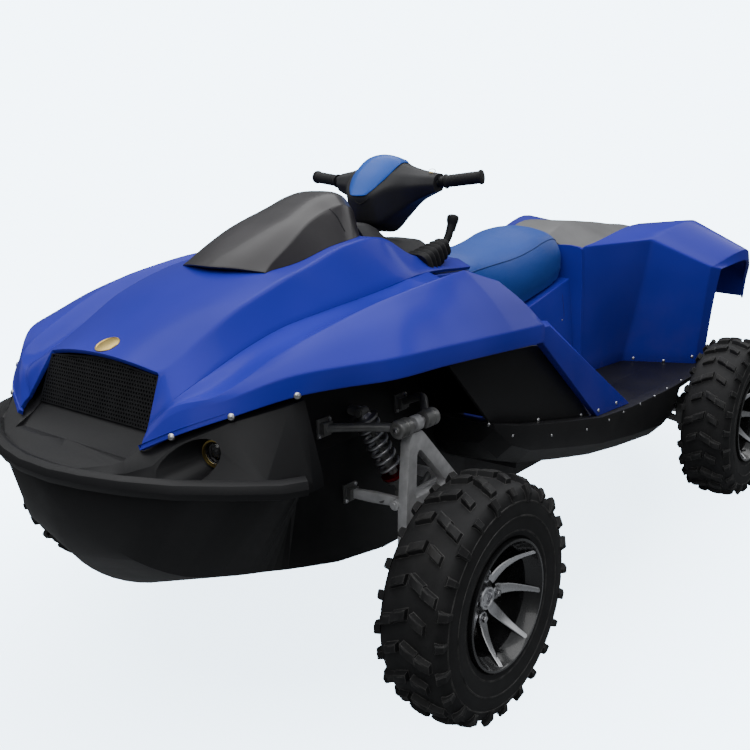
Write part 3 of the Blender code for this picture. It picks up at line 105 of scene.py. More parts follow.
class Nodes:
    """The nodes of a material, of the world or of a node group."""

    def __init__(self, tree):
        self.tree = tree

    def node(self, kind, settings=None, sockets=None):
        """Adds a node: its settings first, then the values or links of its sockets."""
        made = self.tree.nodes.new(kind)
        for name, value in (settings or {}).items():
            if name == "stops":
                for at, _ in value[1:-1]:
                    made.color_ramp.elements.new(at)
                for stop, (at, colour) in zip(made.color_ramp.elements, value):
                    stop.position = at
                    stop.color = colour
            else:
                setattr(made, name, value)
        for name, value in (sockets or {}).items():
            self.feed(made.inputs[name], value)
        return made

    def feed(self, socket, value):
        """Links a socket to another one, or gives it a value."""
        if isinstance(value, Wire):
            value = value.socket
        if isinstance(value, bpy.types.NodeSocket):
            self.tree.links.new(value, socket)
        else:
            socket.default_value = value


class Recipe(Nodes):
    """One material and the nodes that it is made of."""

    def __init__(self, name, colour, roughness, metallic=0.0, **constants):
        self.material = bpy.data.materials.new(name)
        self.material.use_nodes = True
        self.material.diffuse_color = (*colour, 1)
        super().__init__(self.material.node_tree)
        self.shader = self.tree.nodes["Principled BSDF"]
        self.place = self.node("ShaderNodeTexCoord").outputs["Object"]
        self.set("Base Color", (*colour, 1))
        self.set("Roughness", roughness)
        self.set("Metallic", metallic)
        for socket, value in constants.items():
            self.set(socket.replace("_", " ").title().replace("Ior", "IOR"), value)

    def set(self, name, value):
        self.feed(self.shader.inputs[name], value)

    def noise(self, scale, detail=4.0, roughness=0.5, distortion=0.0, stretch=None):
        """Noise in the object's own coordinates, which a stretch scales along each axis."""
        where = self.place
        if stretch:
            where = self.node("ShaderNodeMapping", None, {"Vector": where, "Scale": stretch}).outputs[0]
        made = self.node("ShaderNodeTexNoise", None, {"Vector": where, "Scale": scale, "Detail": detail,
                                                      "Roughness": roughness, "Distortion": distortion})
        return Wire(self, made.outputs["Fac"])

    def cells(self, scale, feature="F1"):
        made = self.node("ShaderNodeTexVoronoi", {"feature": feature}, {"Vector": self.place, "Scale": scale})
        return Wire(self, made.outputs["Distance"])

    def axis(self, letter):
        parted = self.node("ShaderNodeSeparateXYZ", None, {0: self.place})
        return Wire(self, parted.outputs[letter])

    def edges(self, radius):
        """1 along the piece's sharp edges, 0 on its open faces."""
        rounded = self.node("ShaderNodeBevel", {"samples": 4}, {"Radius": radius}).outputs[0]
        plain = self.node("ShaderNodeNewGeometry").outputs["Normal"]
        match = self.node("ShaderNodeVectorMath", {"operation": "DOT_PRODUCT"}, {0: rounded, 1: plain})
        return (1 - Wire(self, match.outputs["Value"])).above(0.004, 0.09)

    def mix(self, mask, first, second):
        """A colour between two colours."""
        first = (*first, 1) if isinstance(first, tuple) else first
        second = (*second, 1) if isinstance(second, tuple) else second
        made = self.node("ShaderNodeMix", {"data_type": "RGBA"}, {0: mask, 6: first, 7: second})
        return made.outputs[2]

    def bump(self, height, strength, distance=0.001):
        """Feeds a height to the shader's normal, over any bump that is there."""
        normal = self.shader.inputs["Normal"]
        below = normal.links[0].from_socket if normal.is_linked else None
        sockets = {"Strength": strength, "Distance": distance, "Height": height}
        if below:
            sockets["Normal"] = below
        self.feed(normal, self.node("ShaderNodeBump", None, sockets).outputs[0])


FINISHES = {}


def finish(name):
    """The named finish, made once."""
    if name not in FINISHES:
        FINISHES[name] = MAKERS[name]().material
    return FINISHES[name]


def dust(recipe, colour, base, amount, low, high):
    """Lays pale dust on the lower parts of a finish, between two heights."""
    patches = recipe.noise(9.0, 6.0, 0.6)
    lower = 1 - recipe.axis("Z").above(low, high)
    mask = lower * patches.above(0.42, 0.75) * amount
    return recipe.mix(mask, base, colour), mask


def blue_paint():
    paint = bpy.context.scene.amphibian_paint
    deep = tuple(paint.blue_deep)
    bright = tuple(paint.blue)
    recipe = Recipe("blue_gel_coat", bright, paint.gloss, coat_weight=0.03, coat_roughness=0.10,
                    specular_ior_level=0.05)
    drift = recipe.noise(2.2, 2.0, 0.5)
    base = recipe.mix(drift.above(0.35, 0.7), deep, bright)
    worn = recipe.edges(0.0025) * recipe.noise(14.0, 5.0).above(0.45, 0.7)
    base = recipe.mix(worn * 0.25, base, (0.10, 0.14, 0.55))
    coloured, mask = dust(recipe, (0.12, 0.11, 0.16), base, 0.12, 0.45, 0.90)
    recipe.set("Base Color", coloured)
    smear = recipe.noise(5.0, 7.0, 0.62, 0.6)
    recipe.set("Roughness", paint.gloss + 0.08 * smear + 0.30 * mask)
    recipe.bump(recipe.noise(7.0, 2.0), 0.10, 0.004)
    recipe.bump(recipe.noise(260.0, 2.0), 0.035, 0.0004)
    return recipe


def satin(name, colour, roughness, grain=1.0, bare=(0.050, 0.050, 0.053), specular=0.24, coat=0.0):
    """Moulded plastic with a fine leathery grain, scuffed along its edges."""
    recipe = Recipe(name, colour, roughness, specular_ior_level=specular, coat_weight=coat)
    drift = recipe.noise(6.0, 5.0, 0.55)
    lighter = tuple(min(1.0, c * 1.4 + 0.001) for c in colour)
    base = recipe.mix(drift.above(0.3, 0.75), colour, lighter)
    scuff = recipe.edges(0.0025) * recipe.noise(22.0, 6.0).above(0.40, 0.66)
    base = recipe.mix(scuff * 0.45, base, bare)
    coloured, mask = dust(recipe, (0.060, 0.056, 0.050), base, 0.22, 0.20, 0.70)
    recipe.set("Base Color", coloured)
    recipe.set("Roughness", roughness + 0.16 * drift - 0.08 + 0.30 * mask)
    recipe.bump(recipe.cells(620.0), 0.16 * grain, 0.0006)
    recipe.bump(recipe.noise(60.0, 4.0), 0.05 * grain, 0.001)
    return recipe


def black_plastic():
    return satin("black_moulding", tuple(bpy.context.scene.amphibian_paint.black), 0.46)


def cap_paint():
    recipe = Recipe("cap_gloss_blue", (0.014, 0.090, 0.46), 0.30, coat_weight=0.06, coat_roughness=0.10,
                    specular_ior_level=0.20)
    drift = recipe.noise(7.0, 3.0)
    recipe.set("Base Color", recipe.mix(drift, (0.012, 0.080, 0.42), (0.018, 0.105, 0.50)))
    recipe.set("Roughness", 0.24 + 0.12 * recipe.noise(16.0, 6.0))
    recipe.bump(recipe.noise(320.0, 2.0), 0.03, 0.0004)
    return recipe


def seat_vinyl():
    recipe = Recipe("seat_vinyl", (0.012, 0.082, 0.40), 0.38, specular_ior_level=0.30, sheen_weight=0.04)
    pores = recipe.cells(900.0, "DISTANCE_TO_EDGE")
    leather = recipe.noise(210.0, 5.0, 0.6)
    drift = recipe.noise(5.0, 4.0)
    base = recipe.mix(drift, (0.008, 0.054, 0.32), (0.013, 0.080, 0.43))
    base = recipe.mix((1 - pores.above(0.0, 0.12)) * 0.25, base, (0.010, 0.055, 0.24))
    recipe.set("Base Color", base)
    recipe.set("Roughness", 0.36 + 0.18 * leather)
    recipe.bump(pores.above(0.0, 0.25), 0.18, 0.0005)
    recipe.bump(leather, 0.12, 0.0008)
    return recipe


def seat_thread():
    recipe = Recipe("seat_piping", (0.008, 0.048, 0.24), 0.6)
    twist = recipe.noise(700.0, 2.0)
    recipe.set("Base Color", recipe.mix(twist, (0.006, 0.040, 0.20), (0.012, 0.062, 0.30)))
    recipe.set("Roughness", 0.5 + 0.25 * twist)
    recipe.bump(twist, 0.4, 0.0004)
    return recipe


def painted_metal(name, colour, roughness, metallic, chip=0.35, coat=0.0):
    """Sprayed or cast metal: fine sand texture, darker patches at random and bare edges."""
    recipe = Recipe(name, colour, roughness, metallic, coat_weight=coat)
    drift = recipe.noise(18.0, 6.0, 0.6)
    darker = tuple(c * 0.62 for c in colour)
    base = recipe.mix(drift.above(0.35, 0.7), darker, colour)
    bare = recipe.edges(0.0018) * recipe.noise(40.0, 5.0).above(0.42, 0.62)
    base = recipe.mix(bare * chip, base, tuple(min(1.0, c * 2.0 + 0.05) for c in colour))
    recipe.set("Base Color", base)
    recipe.set("Roughness", roughness + 0.22 * drift - 0.08)
    recipe.bump(recipe.noise(420.0, 3.0), 0.14, 0.0005)
    return recipe


def machined(name, colour, roughness, stretch=(1.0, 1.0, 1.0), coat=0.0):
    """Turned or milled metal with fine tool lines along one direction."""
    recipe = Recipe(name, colour, roughness, 1.0, coat_weight=coat)
    lines = recipe.noise(260.0, 2.0, 0.5, 0.0, stretch)
    haze = recipe.noise(30.0, 5.0)
    recipe.set("Base Color", recipe.mix(haze, tuple(c * 0.82 for c in colour), colour))
    recipe.set("Roughness", roughness + 0.14 * haze + 0.10 * lines)
    recipe.bump(lines, 0.06, 0.0003)
    return recipe


# Near-black for the thin seams, and for the sheet behind the grille's holes, where it is painted shade
def seam_and_shade_black():
    recipe = Recipe("shadow_black", (0.006, 0.006, 0.007), 0.7)
    recipe.set("Roughness", 0.6 + 0.2 * recipe.noise(40.0))
    recipe.bump(recipe.noise(300.0), 0.1, 0.0005)
    return recipe


def tyre_rubber():
    recipe = Recipe("tyre_rubber", (0.014, 0.014, 0.015), 0.68, specular_ior_level=0.28)
    blotch = recipe.noise(16.0, 7.0, 0.62)
    radius = (recipe.axis("Y") ** 2.0 + recipe.axis("Z") ** 2.0) ** 0.5
    tread = radius.above(0.280, 0.316)
    base = recipe.mix(blotch.above(0.32, 0.72), (0.0095, 0.0095, 0.010), (0.021, 0.021, 0.022))
    # Lighter lug edges in patches: scuffed rubber, and also a painted highlight along the lug edges
    scuff = recipe.edges(0.0030) * recipe.noise(34.0, 5.0).above(0.30, 0.62)
    base = recipe.mix(scuff * 0.85, base, (0.105, 0.103, 0.100))
    soil = tread * recipe.noise(7.0, 6.0).above(0.50, 0.78) * 0.22
    base = recipe.mix(soil, base, (0.070, 0.064, 0.056))
    recipe.set("Base Color", base)
    recipe.set("Roughness", 0.58 + 0.24 * blotch)
    recipe.bump(recipe.noise(380.0, 4.0, 0.6), 0.22, 0.0006)
    return recipe


def grip_rubber():
    recipe = Recipe("grip_rubber", (0.012, 0.012, 0.013), 0.60, specular_ior_level=0.30)
    blotch = recipe.noise(26.0, 5.0)
    recipe.set("Base Color", recipe.mix(blotch, (0.008, 0.008, 0.009), (0.017, 0.017, 0.018)))
    recipe.set("Roughness", 0.5 + 0.25 * blotch)
    recipe.bump(recipe.noise(500.0, 3.0), 0.15, 0.0005)
    return recipe


def lamp_glass():
    recipe = Recipe("lamp_glass", (0.95, 0.95, 0.96), 0.03, transmission_weight=1.0, ior=1.45)
    recipe.set("Roughness", 0.02 + 0.05 * recipe.noise(30.0, 5.0))
    recipe.bump(recipe.noise(90.0), 0.05, 0.0004)
    return recipe


def red_glass():
    recipe = Recipe("red_lens", (0.42, 0.006, 0.008), 0.12, coat_weight=0.6)
    ribs = recipe.cells(150.0, "DISTANCE_TO_EDGE")
    recipe.set("Base Color", recipe.mix(ribs.above(0.0, 0.3), (0.16, 0.002, 0.003), (0.50, 0.010, 0.012)))
    recipe.set("Roughness", 0.10 + 0.10 * recipe.noise(40.0))
    recipe.bump(ribs, 0.5, 0.0012)
    return recipe


# Half the width and length of the floor that the vehicle stands on, the shares of it where the floor begins and
# ends to fade into the backdrop, and how much of the floor is left at the start
FOOTPRINT = (0.90, 1.65)
FLOOR_FADE = (0.75, 2.6)
FLOOR_SHARE = 0.42


def floor_finish():
    stage = bpy.context.scene.amphibian_stage
    recipe = Recipe("studio_floor", tuple(stage.floor), 0.85)
    recipe.set("Roughness", 0.8 + 0.1 * recipe.noise(3.0))
    across_share = recipe.axis("X") * (1 / FOOTPRINT[0])
    along_share = recipe.axis("Y") * (1 / FOOTPRINT[1])
    away = ((across_share ** 2.0 + along_share ** 2.0) ** 0.5).above(*FLOOR_FADE)
    fade = 1 - (1 - away) * (1 - away) * FLOOR_SHARE
    clear = recipe.node("ShaderNodeBsdfTransparent").outputs[0]
    blend = recipe.node("ShaderNodeMixShader", None, {0: fade, 1: recipe.shader.outputs[0], 2: clear})
    recipe.feed(recipe.tree.nodes["Material Output"].inputs["Surface"], blend.outputs[0])
    return recipe


DARK_SCUFF = (0.06, 0.06, 0.06)
MAKERS = {
    "blue": blue_paint,
    "black": black_plastic,
    "cowl": partial(satin, "cowl_satin", (0.018, 0.016, 0.018), 0.34, 0.35, DARK_SCUFF, 0.28, 0.10),
    "cover": partial(satin, "cover_grey", (0.125, 0.125, 0.128), 0.36, 0.4, (0.20, 0.20, 0.20)),
    "pod": partial(satin, "pod_matt", (0.018, 0.018, 0.020), 0.50, 0.5, DARK_SCUFF),
    "cap": cap_paint,
    "vinyl": seat_vinyl,
    "piping": seat_thread,
    "arm": partial(painted_metal, "arm_grey", (0.190, 0.192, 0.192), 0.38, 0.40),
    "boss": partial(painted_metal, "boss_grey", (0.260, 0.260, 0.255), 0.34, 0.50),
    "upright": partial(painted_metal, "upright_silver", (0.62, 0.62, 0.63), 0.42, 0.25),
    "engine": partial(painted_metal, "engine_casting", (0.16, 0.16, 0.165), 0.5, 0.85),
    "rim_black": partial(painted_metal, "rim_black", (0.016, 0.016, 0.017), 0.24, 0.0, 0.25, 0.4),
    "bright": partial(machined, "machined_alloy", (0.78, 0.78, 0.80), 0.16, (1.0, 1.0, 0.12)),
    "spring": partial(machined, "spring_grey", (0.62, 0.62, 0.64), 0.30, coat=0.3),
    "red_metal": partial(machined, "red_anodised", (0.42, 0.012, 0.03), 0.28, (1.0, 1.0, 0.2)),
    "gold": partial(machined, "gold_plate", (0.72, 0.52, 0.16), 0.20),
    "bore": seam_and_shade_black,
    "tyre": tyre_rubber,
    "grip": grip_rubber,
    "glass": lamp_glass,
    "red_lens": red_glass,
    "floor": floor_finish,
}

# Photograph's camera: size of the picture, width of the film, lens, place and angles
PHOTO_SIZE = 750
FILM_WIDTH = 36
LENS = 43.216
EYE = (1.91498, -2.65316, 1.42428)
YAW, PITCH, ROLL = (math.radians(a) for a in (-39.869, 14.415, -1.739))


# Mesh helpers

# Surfaces that places of the photograph are looked up on, by the node that a piece stands for
SKINS = {}
# Angle in degrees between two faces from which a panel's edge is shaded sharp
SHARP_ANGLE = 24
# Rounding of a panel's rims, and the angle in degrees that makes an edge a rim
RIM_RADIUS = 0.0012
RIM_ANGLE = 60


def linked(name, data):
    """A new object in the scene."""
    obj = bpy.data.objects.new(name, data)
    bpy.context.scene.collection.objects.link(obj)
    return obj


def made_mesh(name, bm):
    """Turns a bmesh into a mesh whose faces look outwards."""
    bmesh.ops.recalc_face_normals(bm, faces=bm.faces)
    return plain_mesh(name, bm)


def plain_mesh(name, bm):
    """Turns a bmesh into a mesh as it is."""
    mesh = bpy.data.meshes.new(name)
    bm.to_mesh(mesh)
    bm.free()
    return mesh


def kept(obj):
    """The mesh that an object's modifiers give."""
    bpy.context.view_layer.update()
    return bpy.data.meshes.new_from_object(obj.evaluated_get(bpy.context.evaluated_depsgraph_get()))


def piece(name, bm, body, finishes, smooth):
    """Turns a bmesh into a piece that rides on a body and takes one finish or more."""
    return mesh_piece(name, made_mesh(name, bm), body, finishes, smooth)


def mesh_piece(name, mesh, body, finishes, smooth, place=(0, 0, 0)):
    """Makes a mesh a piece of a body. Its edges are smooth below an angle in degrees."""
    obj = linked(name, mesh)
    if not mesh.materials:
        for entry in finishes:
            mesh.materials.append(finish(entry))
    if smooth:
        mesh.shade_smooth()
        mesh.set_sharp_from_angle(angle=math.radians(smooth))
    obj.location = place
    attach(obj, body)
    return obj


def mirror_mesh(mesh, name):
    """A copy of a mesh, mirrored across the keel plane."""
    twin = mesh.copy()
    twin.name = name
    twin.transform(Matrix.Scale(-1, 4, (1, 0, 0)))
    twin.flip_normals()
    return twin


def both_sides(left, name):
    """A left mesh and its mirrored twin, each with its side."""
    return ("left", left), ("right", mirror_mesh(left, f"{name}_mirrored"))


def right_twin(left, smooth):
    """The mirrored twin of a left piece of the chassis, in the same finishes."""
    name = left.name.replace("_left", "")
    return mesh_piece(f"{name}_right", mirror_mesh(left.data, f"{name}_mirrored"), "chassis", (), smooth)


def mirrored(points):
    """Points of the left side on the right one, in reverse order, without those on the centre line."""
    return [(-x, y, z) for x, y, z in reversed(points) if x]


def row_of(bm, points):
    """New vertices at some points."""
    return [bm.verts.new(point) for point in points]


def circle(centre, first, second, radius, count, turn=0.0):
    """Points round a circle in the plane of two directions."""
    angles = [turn + math.tau * i / count for i in range(count)]
    return [centre + (first * math.cos(a) + second * math.sin(a)) * radius for a in angles]


def bridge(bm, low, high, closed=True, index=0):
    """Quads between two rows of vertices."""
    count = len(low) if closed else len(low) - 1
    for i in range(count):
        j = (i + 1) % len(low)
        bm.faces.new((low[i], low[j], high[j], high[i])).material_index = index


def across(along):
    """Two directions at right angles to a line."""
    along = Vector(along).normalized()
    first = along.orthogonal().normalized()
    return first, along.cross(first)


def add_loft(bm, rings, index=0):
    """A skin through rings of points, with a face at each end. Its sides take the finish of the index."""
    rows = [row_of(bm, ring) for ring in rings]
    for low, high in zip(rows, rows[1:]):
        bridge(bm, low, high, True, index)
    bm.faces.new(rows[0])
    bm.faces.new(rows[-1])


def add_block(bm, low, high):
    """A box between two opposite corners."""
    size = Vector(high) - Vector(low)
    middle = (Vector(high) + Vector(low)) / 2
    bmesh.ops.create_cube(bm, size=1.0, matrix=Matrix.Translation(middle) @ Matrix.Diagonal((*size, 1)))


def add_turned(bm, profile, foot, along, sides, index=0, capped=False):
    """Turns a line of (radius, distance) about an axis that starts at foot."""
    foot = Vector(foot)
    along = Vector(along).normalized()
    first, second = across(along)
    rows = []
    for radius, distance in profile:
        centre = foot + along * distance
        rows.append(row_of(bm, circle(centre, first, second, radius, sides) if radius > 0 else [centre]))
    for low, high in zip(rows, rows[1:]):
        if len(low) == 1 or len(high) == 1:
            tip, ring = (low[0], high) if len(low) == 1 else (high[0], low)
            for i in range(sides):
                bm.faces.new((tip, ring[i], ring[(i + 1) % sides])).material_index = index
        else:
            bridge(bm, low, high, True, index)
    if capped:
        for row in (rows[0], rows[-1]):
            bm.faces.new(row).material_index = index
    return rows


def add_parts(bm, parts, foot, along):
    """Turned parts on one axis: each has its profile, its number of sides and the index of its finish."""
    for profile, sides, index in parts:
        add_turned(bm, profile, foot, along, sides, index)


def add_tube(bm, route, radius, sides, index=0, closed=False):
    """A round tube along a route. The radius is a number, or one for each point."""
    route = [Vector(p) for p in route]
    radii = radius if isinstance(radius, (list, tuple)) else [radius] * len(route)
    count = len(route)
    normal = None
    rows = []
    for i, point in enumerate(route):
        if closed:
            along = (route[(i + 1) % count] - route[i - 1]).normalized()
        else:
            along = (route[min(i + 1, count - 1)] - route[max(i - 1, 0)]).normalized()
        if normal is None:
            normal = along.orthogonal().normalized()
        normal = (normal - along * normal.dot(along)).normalized()
        rows.append(row_of(bm, circle(point, normal, along.cross(normal), radii[i], sides)))
    for low, high in zip(rows, rows[1:]):
        bridge(bm, low, high, True, index)
    if closed:
        bridge(bm, rows[-1], rows[0], True, index)
    else:
        bm.faces.new(rows[0]).material_index = index
        bm.faces.new(rows[-1]).material_index = index


def line_through(points, steps):
    """A smooth line through a list of points, whose bends follow the spacing of the points."""
    points = [Vector(p) for p in points]
    spans = [(b - a).length for a, b in zip(points, points[1:])]
    last = len(points) - 1
    slopes = []
    for i in range(last + 1):
        if i in (0, last):
            k = min(i, last - 1)
            slopes.append((points[k + 1] - points[k]) / spans[k])
        else:
            before = (points[i] - points[i - 1]) / spans[i - 1]
            after = (points[i + 1] - points[i]) / spans[i]
            slopes.append((before * spans[i] + after * spans[i - 1]) / (spans[i] + spans[i - 1]))
    line = []
    for i, span in enumerate(spans):
        for step in range(steps):
            t = step / steps
            line.append(points[i] * (1 + 2 * t) * (1 - t) ** 2 + points[i + 1] * (3 - 2 * t) * t ** 2
                        + slopes[i] * span * t * (1 - t) ** 2 - slopes[i + 1] * span * (1 - t) * t ** 2)
    line.append(points[-1])
    return line


def cornered(points, steps, sharp=(), radius=0.0):
    """A line through points that is smooth, apart from some of them, where it turns a rounded corner."""
    stops = [0, *sharp, len(points) - 1]
    lines = [line_through(points[a:b + 1], steps) for a, b in zip(stops, stops[1:])]
    made = lines[0]
    for following in lines[1:]:
        corner = made.pop()
        back = made[-1] - corner
        ahead = following[1] - corner
        start = corner + back.normalized() * min(radius, 0.45 * back.length)
        end = corner + ahead.normalized() * min(radius, 0.45 * ahead.length)
        made += [start.lerp(corner, t).lerp(corner.lerp(end, t), t) for t in (0, 1 / 3, 2 / 3, 1)]
        made += following[1:]
    return made


def bowed(start, end, toward, height):
    """The middle of a line between two points, moved to one side of it."""
    return (Vector(start) + Vector(end)) / 2 + Vector(toward).normalized() * height


def ring_of(points, steps, radius):
    """A closed ring whose corners are all rounded."""
    seam = (Vector(points[-1]) + Vector(points[0])) / 2
    return cornered([seam, *points, seam], steps, range(1, len(points) + 1), radius)[:-1]


def fine_grid(rows, along, across, sharp_rows, sharp_columns, radius):
    """Rows of points made finer both ways, with rounded creases at some rows and columns."""
    columns = [cornered(column, along, sharp_rows, radius) for column in zip(*rows)]
    return [cornered(row, across, sharp_columns, radius) for row in zip(*columns)]


def panel_mesh(name, grid, toward):
    """An open sheet that faces one way."""
    bm = bmesh.new()
    rows = [row_of(bm, row) for row in grid]
    for low, high in zip(rows, rows[1:]):
        bridge(bm, low, high, False)
    bm.normal_update()
    facing = sum((face.normal * face.calc_area() for face in bm.faces), Vector())
    if facing.dot(Vector(toward)) < 0:
        bmesh.ops.reverse_faces(bm, faces=bm.faces)
    return plain_mesh(name, bm)


def softened(obj, width, angle):
    """Rounds the edges of an object that are sharper than an angle in degrees."""
    rounding = obj.modifiers.new("Edges", "BEVEL")
    rounding.width = width
    rounding.segments = 2
    rounding.limit_method = "ANGLE"
    rounding.angle_limit = math.radians(angle)


def rounded_edges():
    """A node group that shades a mesh smooth except along its sharp edges."""
    name = "Soft shading"
    if name in bpy.data.node_groups:
        return bpy.data.node_groups[name]
    group = bpy.data.node_groups.new(name, "GeometryNodeTree")
    for way in ("INPUT", "OUTPUT"):
        group.interface.new_socket("Geometry", in_out=way, socket_type="NodeSocketGeometry")
    maker = Nodes(group)
    start = maker.node("NodeGroupInput").outputs[0]
    angle = maker.node("GeometryNodeInputMeshEdgeAngle").outputs["Unsigned Angle"]
    sharp = maker.node("FunctionNodeCompare", {"operation": "GREATER_THAN"}, {
        0: angle, 1: math.radians(SHARP_ANGLE)})
    faces = maker.node("GeometryNodeSetShadeSmooth", None, {"Geometry": start})
    edges = maker.node("GeometryNodeSetShadeSmooth", {"domain": "EDGE"}, {
        "Geometry": faces.outputs[0], "Selection": sharp.outputs[0], "Shade Smooth": False})
    maker.node("NodeGroupOutput", None, {0: edges.outputs[0]})
    return group


def dress(names, entry, bevel):
    """Gives carried-over nodes their finish, with softened edges."""
    for name in names:
        obj = NODES[name]
        obj.data.materials.clear()
        obj.data.materials.append(finish(entry))
        weld = obj.modifiers.new("Weld", "WELD")
        weld.merge_threshold = 0.00002
        softened(obj, bevel, SHARP_ANGLE)
        obj.modifiers.new("Shading", "NODES").node_group = rounded_edges()


def sides(*names):
    """The names of some nodes on the left and on the right."""
    return [f"{name}_{side}" for name in names for side in ("left", "right")]


def stand_for(obj, node):
    """Puts a piece in a node's place, also for the places that are looked up on it."""
    SKINS[node] = tree_of(obj.data)
    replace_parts(obj, node)


def panel(name, mesh, body, entry, slot, thickness, node):
    """A moulded panel made from a sheet, in place of a node: one thickness, softened rims and smooth faces."""
    obj = mesh_piece(name, mesh, body, [entry], 0)
    stand_for(obj, node)
    wall = obj.modifiers.new("Wall", "SOLIDIFY")
    wall.thickness = thickness
    wall.offset = -1.0
    wall.use_even_offset = False
    softened(obj, RIM_RADIUS, RIM_ANGLE)
    obj.modifiers.new("Shading", "NODES").node_group = rounded_edges()
    return obj


def carved(obj, tool):
    """Cuts a tool's mesh out of a piece, and keeps the result as the piece's own mesh."""
    cutter = linked("cutter", tool)
    step = obj.modifiers.new("Cut", "BOOLEAN")
    step.operation = "DIFFERENCE"
    step.object = cutter
    mesh = kept(obj)
    obj.modifiers.clear()
    obj.data = mesh
    bpy.data.objects.remove(cutter, do_unlink=True)


def lofted(name, rings, body, entry, slot, smooth):
    """A closed piece through rings of points."""
    bm = bmesh.new()
    add_loft(bm, rings)
    return piece(name, bm, body, [entry], smooth)


def moulding(name, rings, steps, radius, body, entry, slot, smooth):
    """A closed piece through rings, made finer along it and round it, with rounded corners."""
    columns = [line_through(column, steps[0]) for column in zip(*rings)]
    return lofted(name, [ring_of(ring, steps[1], radius) for ring in zip(*columns)], body, entry, slot, smooth)


def tree_of(mesh):
    """A mesh as a tree in which places on it are looked up."""
    return BVHTree.FromPolygons([v.co for v in mesh.vertices], [p.vertices[:] for p in mesh.polygons])


def skin(node):
    """The surface of a node, or of the piece that stands for it."""
    if node not in SKINS:
        SKINS[node] = tree_of(NODES[node].data)
    return SKINS[node]


def camera_axes():
    """The camera's directions forward, to the right and up."""
    forward = Vector((math.sin(YAW) * math.cos(PITCH), math.cos(YAW) * math.cos(PITCH), -math.sin(PITCH)))
    level = Vector((math.cos(YAW), -math.sin(YAW), 0))
    upward = level.cross(forward)
    right = level * math.cos(ROLL) + upward * math.sin(ROLL)
    return forward, right, upward * math.cos(ROLL) - level * math.sin(ROLL)


def sighted(pixel, nodes):
    """The place on some nodes that the photograph shows at a pixel, and the direction that it faces."""
    forward, right, top = camera_axes()
    focal = LENS / FILM_WIDTH * PHOTO_SIZE
    ray = forward + right * (pixel[0] - PHOTO_SIZE / 2) / focal - top * (pixel[1] - PHOTO_SIZE / 2) / focal
    hits = [hit for hit in (skin(node).ray_cast(Vector(EYE), ray.normalized()) for node in nodes) if hit[0]]
    if not hits:
        raise RuntimeError(f"the photograph's pixel {pixel} shows none of {nodes}")
    place, normal, _, _ = min(hits, key=lambda hit: hit[3])
    return place, normal if normal.dot(ray) < 0 else -normal


def seam(name, body, pixels, node, radius, lift):
    """A thin dark line where the photograph shows a seam on a node."""
    route = []
    for pixel in pixels:
        place, normal = sighted(pixel, [node])
        route.append(place + normal * lift)
    bm = bmesh.new()
    add_tube(bm, line_through(route, 4), radius, 8)
    return piece(name, bm, body, ["bore"], 40)


# Settings that a user would change

class PaintSettings(bpy.types.PropertyGroup):
    blue: FloatVectorProperty(name="Blue", description="Main colour of the blue panels", subtype="COLOR",
                              size=3, default=(0.036, 0.040, 0.430), min=0, max=1)
    blue_deep: FloatVectorProperty(name="Deep blue", description="Colour that the blue drifts to",
                                   subtype="COLOR", size=3, default=(0.022, 0.026, 0.345), min=0, max=1)
    black: FloatVectorProperty(name="Black", description="Colour of the black mouldings", subtype="COLOR",
                               size=3, default=(0.0075, 0.0075, 0.0085), min=0, max=1)
    gloss: FloatProperty(name="Gel coat roughness", description="Roughness of the clean blue panels",
                         subtype="FACTOR", default=0.20, min=0, max=1)


class TyreSettings(bpy.types.PropertyGroup):
    pitches: IntProperty(name="Lug pitches", description="Long lugs on each half of a tyre", default=12, min=8,
                         max=30)
    crown: FloatProperty(name="Tyre radius", description="Radius over the lugs", unit="LENGTH",
                         default=TYRE_RADIUS, min=0.2, max=0.4)


class WheelSettings(bpy.types.PropertyGroup):
    spokes: IntProperty(name="Spokes", description="Spokes of each wheel", default=8, min=4, max=12)
    sweep: FloatProperty(name="Sweep", description="How far a spoke's tip lags behind its root",
                         subtype="ANGLE", default=math.radians(5), min=0, max=math.radians(45))


class SeatSettings(bpy.types.PropertyGroup):
    pressure: FloatProperty(name="Stuffing", description="Pressure that swells the seat", default=4.0, min=0,
                            max=12)
    cap: FloatProperty(name="Most swelling", description="How far a point of the seat may move", unit="LENGTH",
                       default=0.012, min=0, max=0.03)


class StageSettings(bpy.types.PropertyGroup):
    floor: FloatVectorProperty(name="Floor", description="Colour of the floor", subtype="COLOR", size=3,
                               default=(0.80, 0.83, 0.87), min=0, max=1)
    light: FloatProperty(name="Light", description="Strength of the soft lights", default=1.0, min=0, max=10)


# Blue bodywork

# Half the width of the seam between the bonnet and a front fender, and the seam's route
GAP = 0.0003
VALLEY = (
    (0.252, -1.478, 0.812), (0.300, -1.451, 0.866), (0.300, -1.330, 0.910), (0.300, -1.200, 0.952),
    (0.300, -1.080, 0.980), (0.300, -0.950, 0.994), (0.300, -0.850, 1.003), (0.300, -0.700, 1.016),
    (0.300, -0.560, 1.034), (0.262, -0.400, 1.033), (0.240, -0.130, 1.016),
)
# Bonnet at each point of the seam: y and z on the centre line, then x, y, z of the crease
BONNET = (
    (-1.425, 0.945, 0.227, -1.415, 0.922),
    (-1.400, 0.955, 0.230, -1.395, 0.930),
    (-1.300, 0.999, 0.238, -1.300, 0.978),
    (-1.190, 1.046, 0.247, -1.190, 1.034),
    (-1.090, 1.082, 0.250, -1.090, 1.068),
    (-1.020, 1.100, 0.245, -1.000, 1.093),
    (-0.900, 1.118, 0.232, -0.900, 1.112),
    (-0.740, 1.150, 0.219, -0.740, 1.148),
    (-0.560, 1.154, 0.210, -0.560, 1.152),
    (-0.400, 1.085, 0.200, -0.400, 1.083),
    (-0.130, 1.050, 0.190, -0.130, 1.040),
)
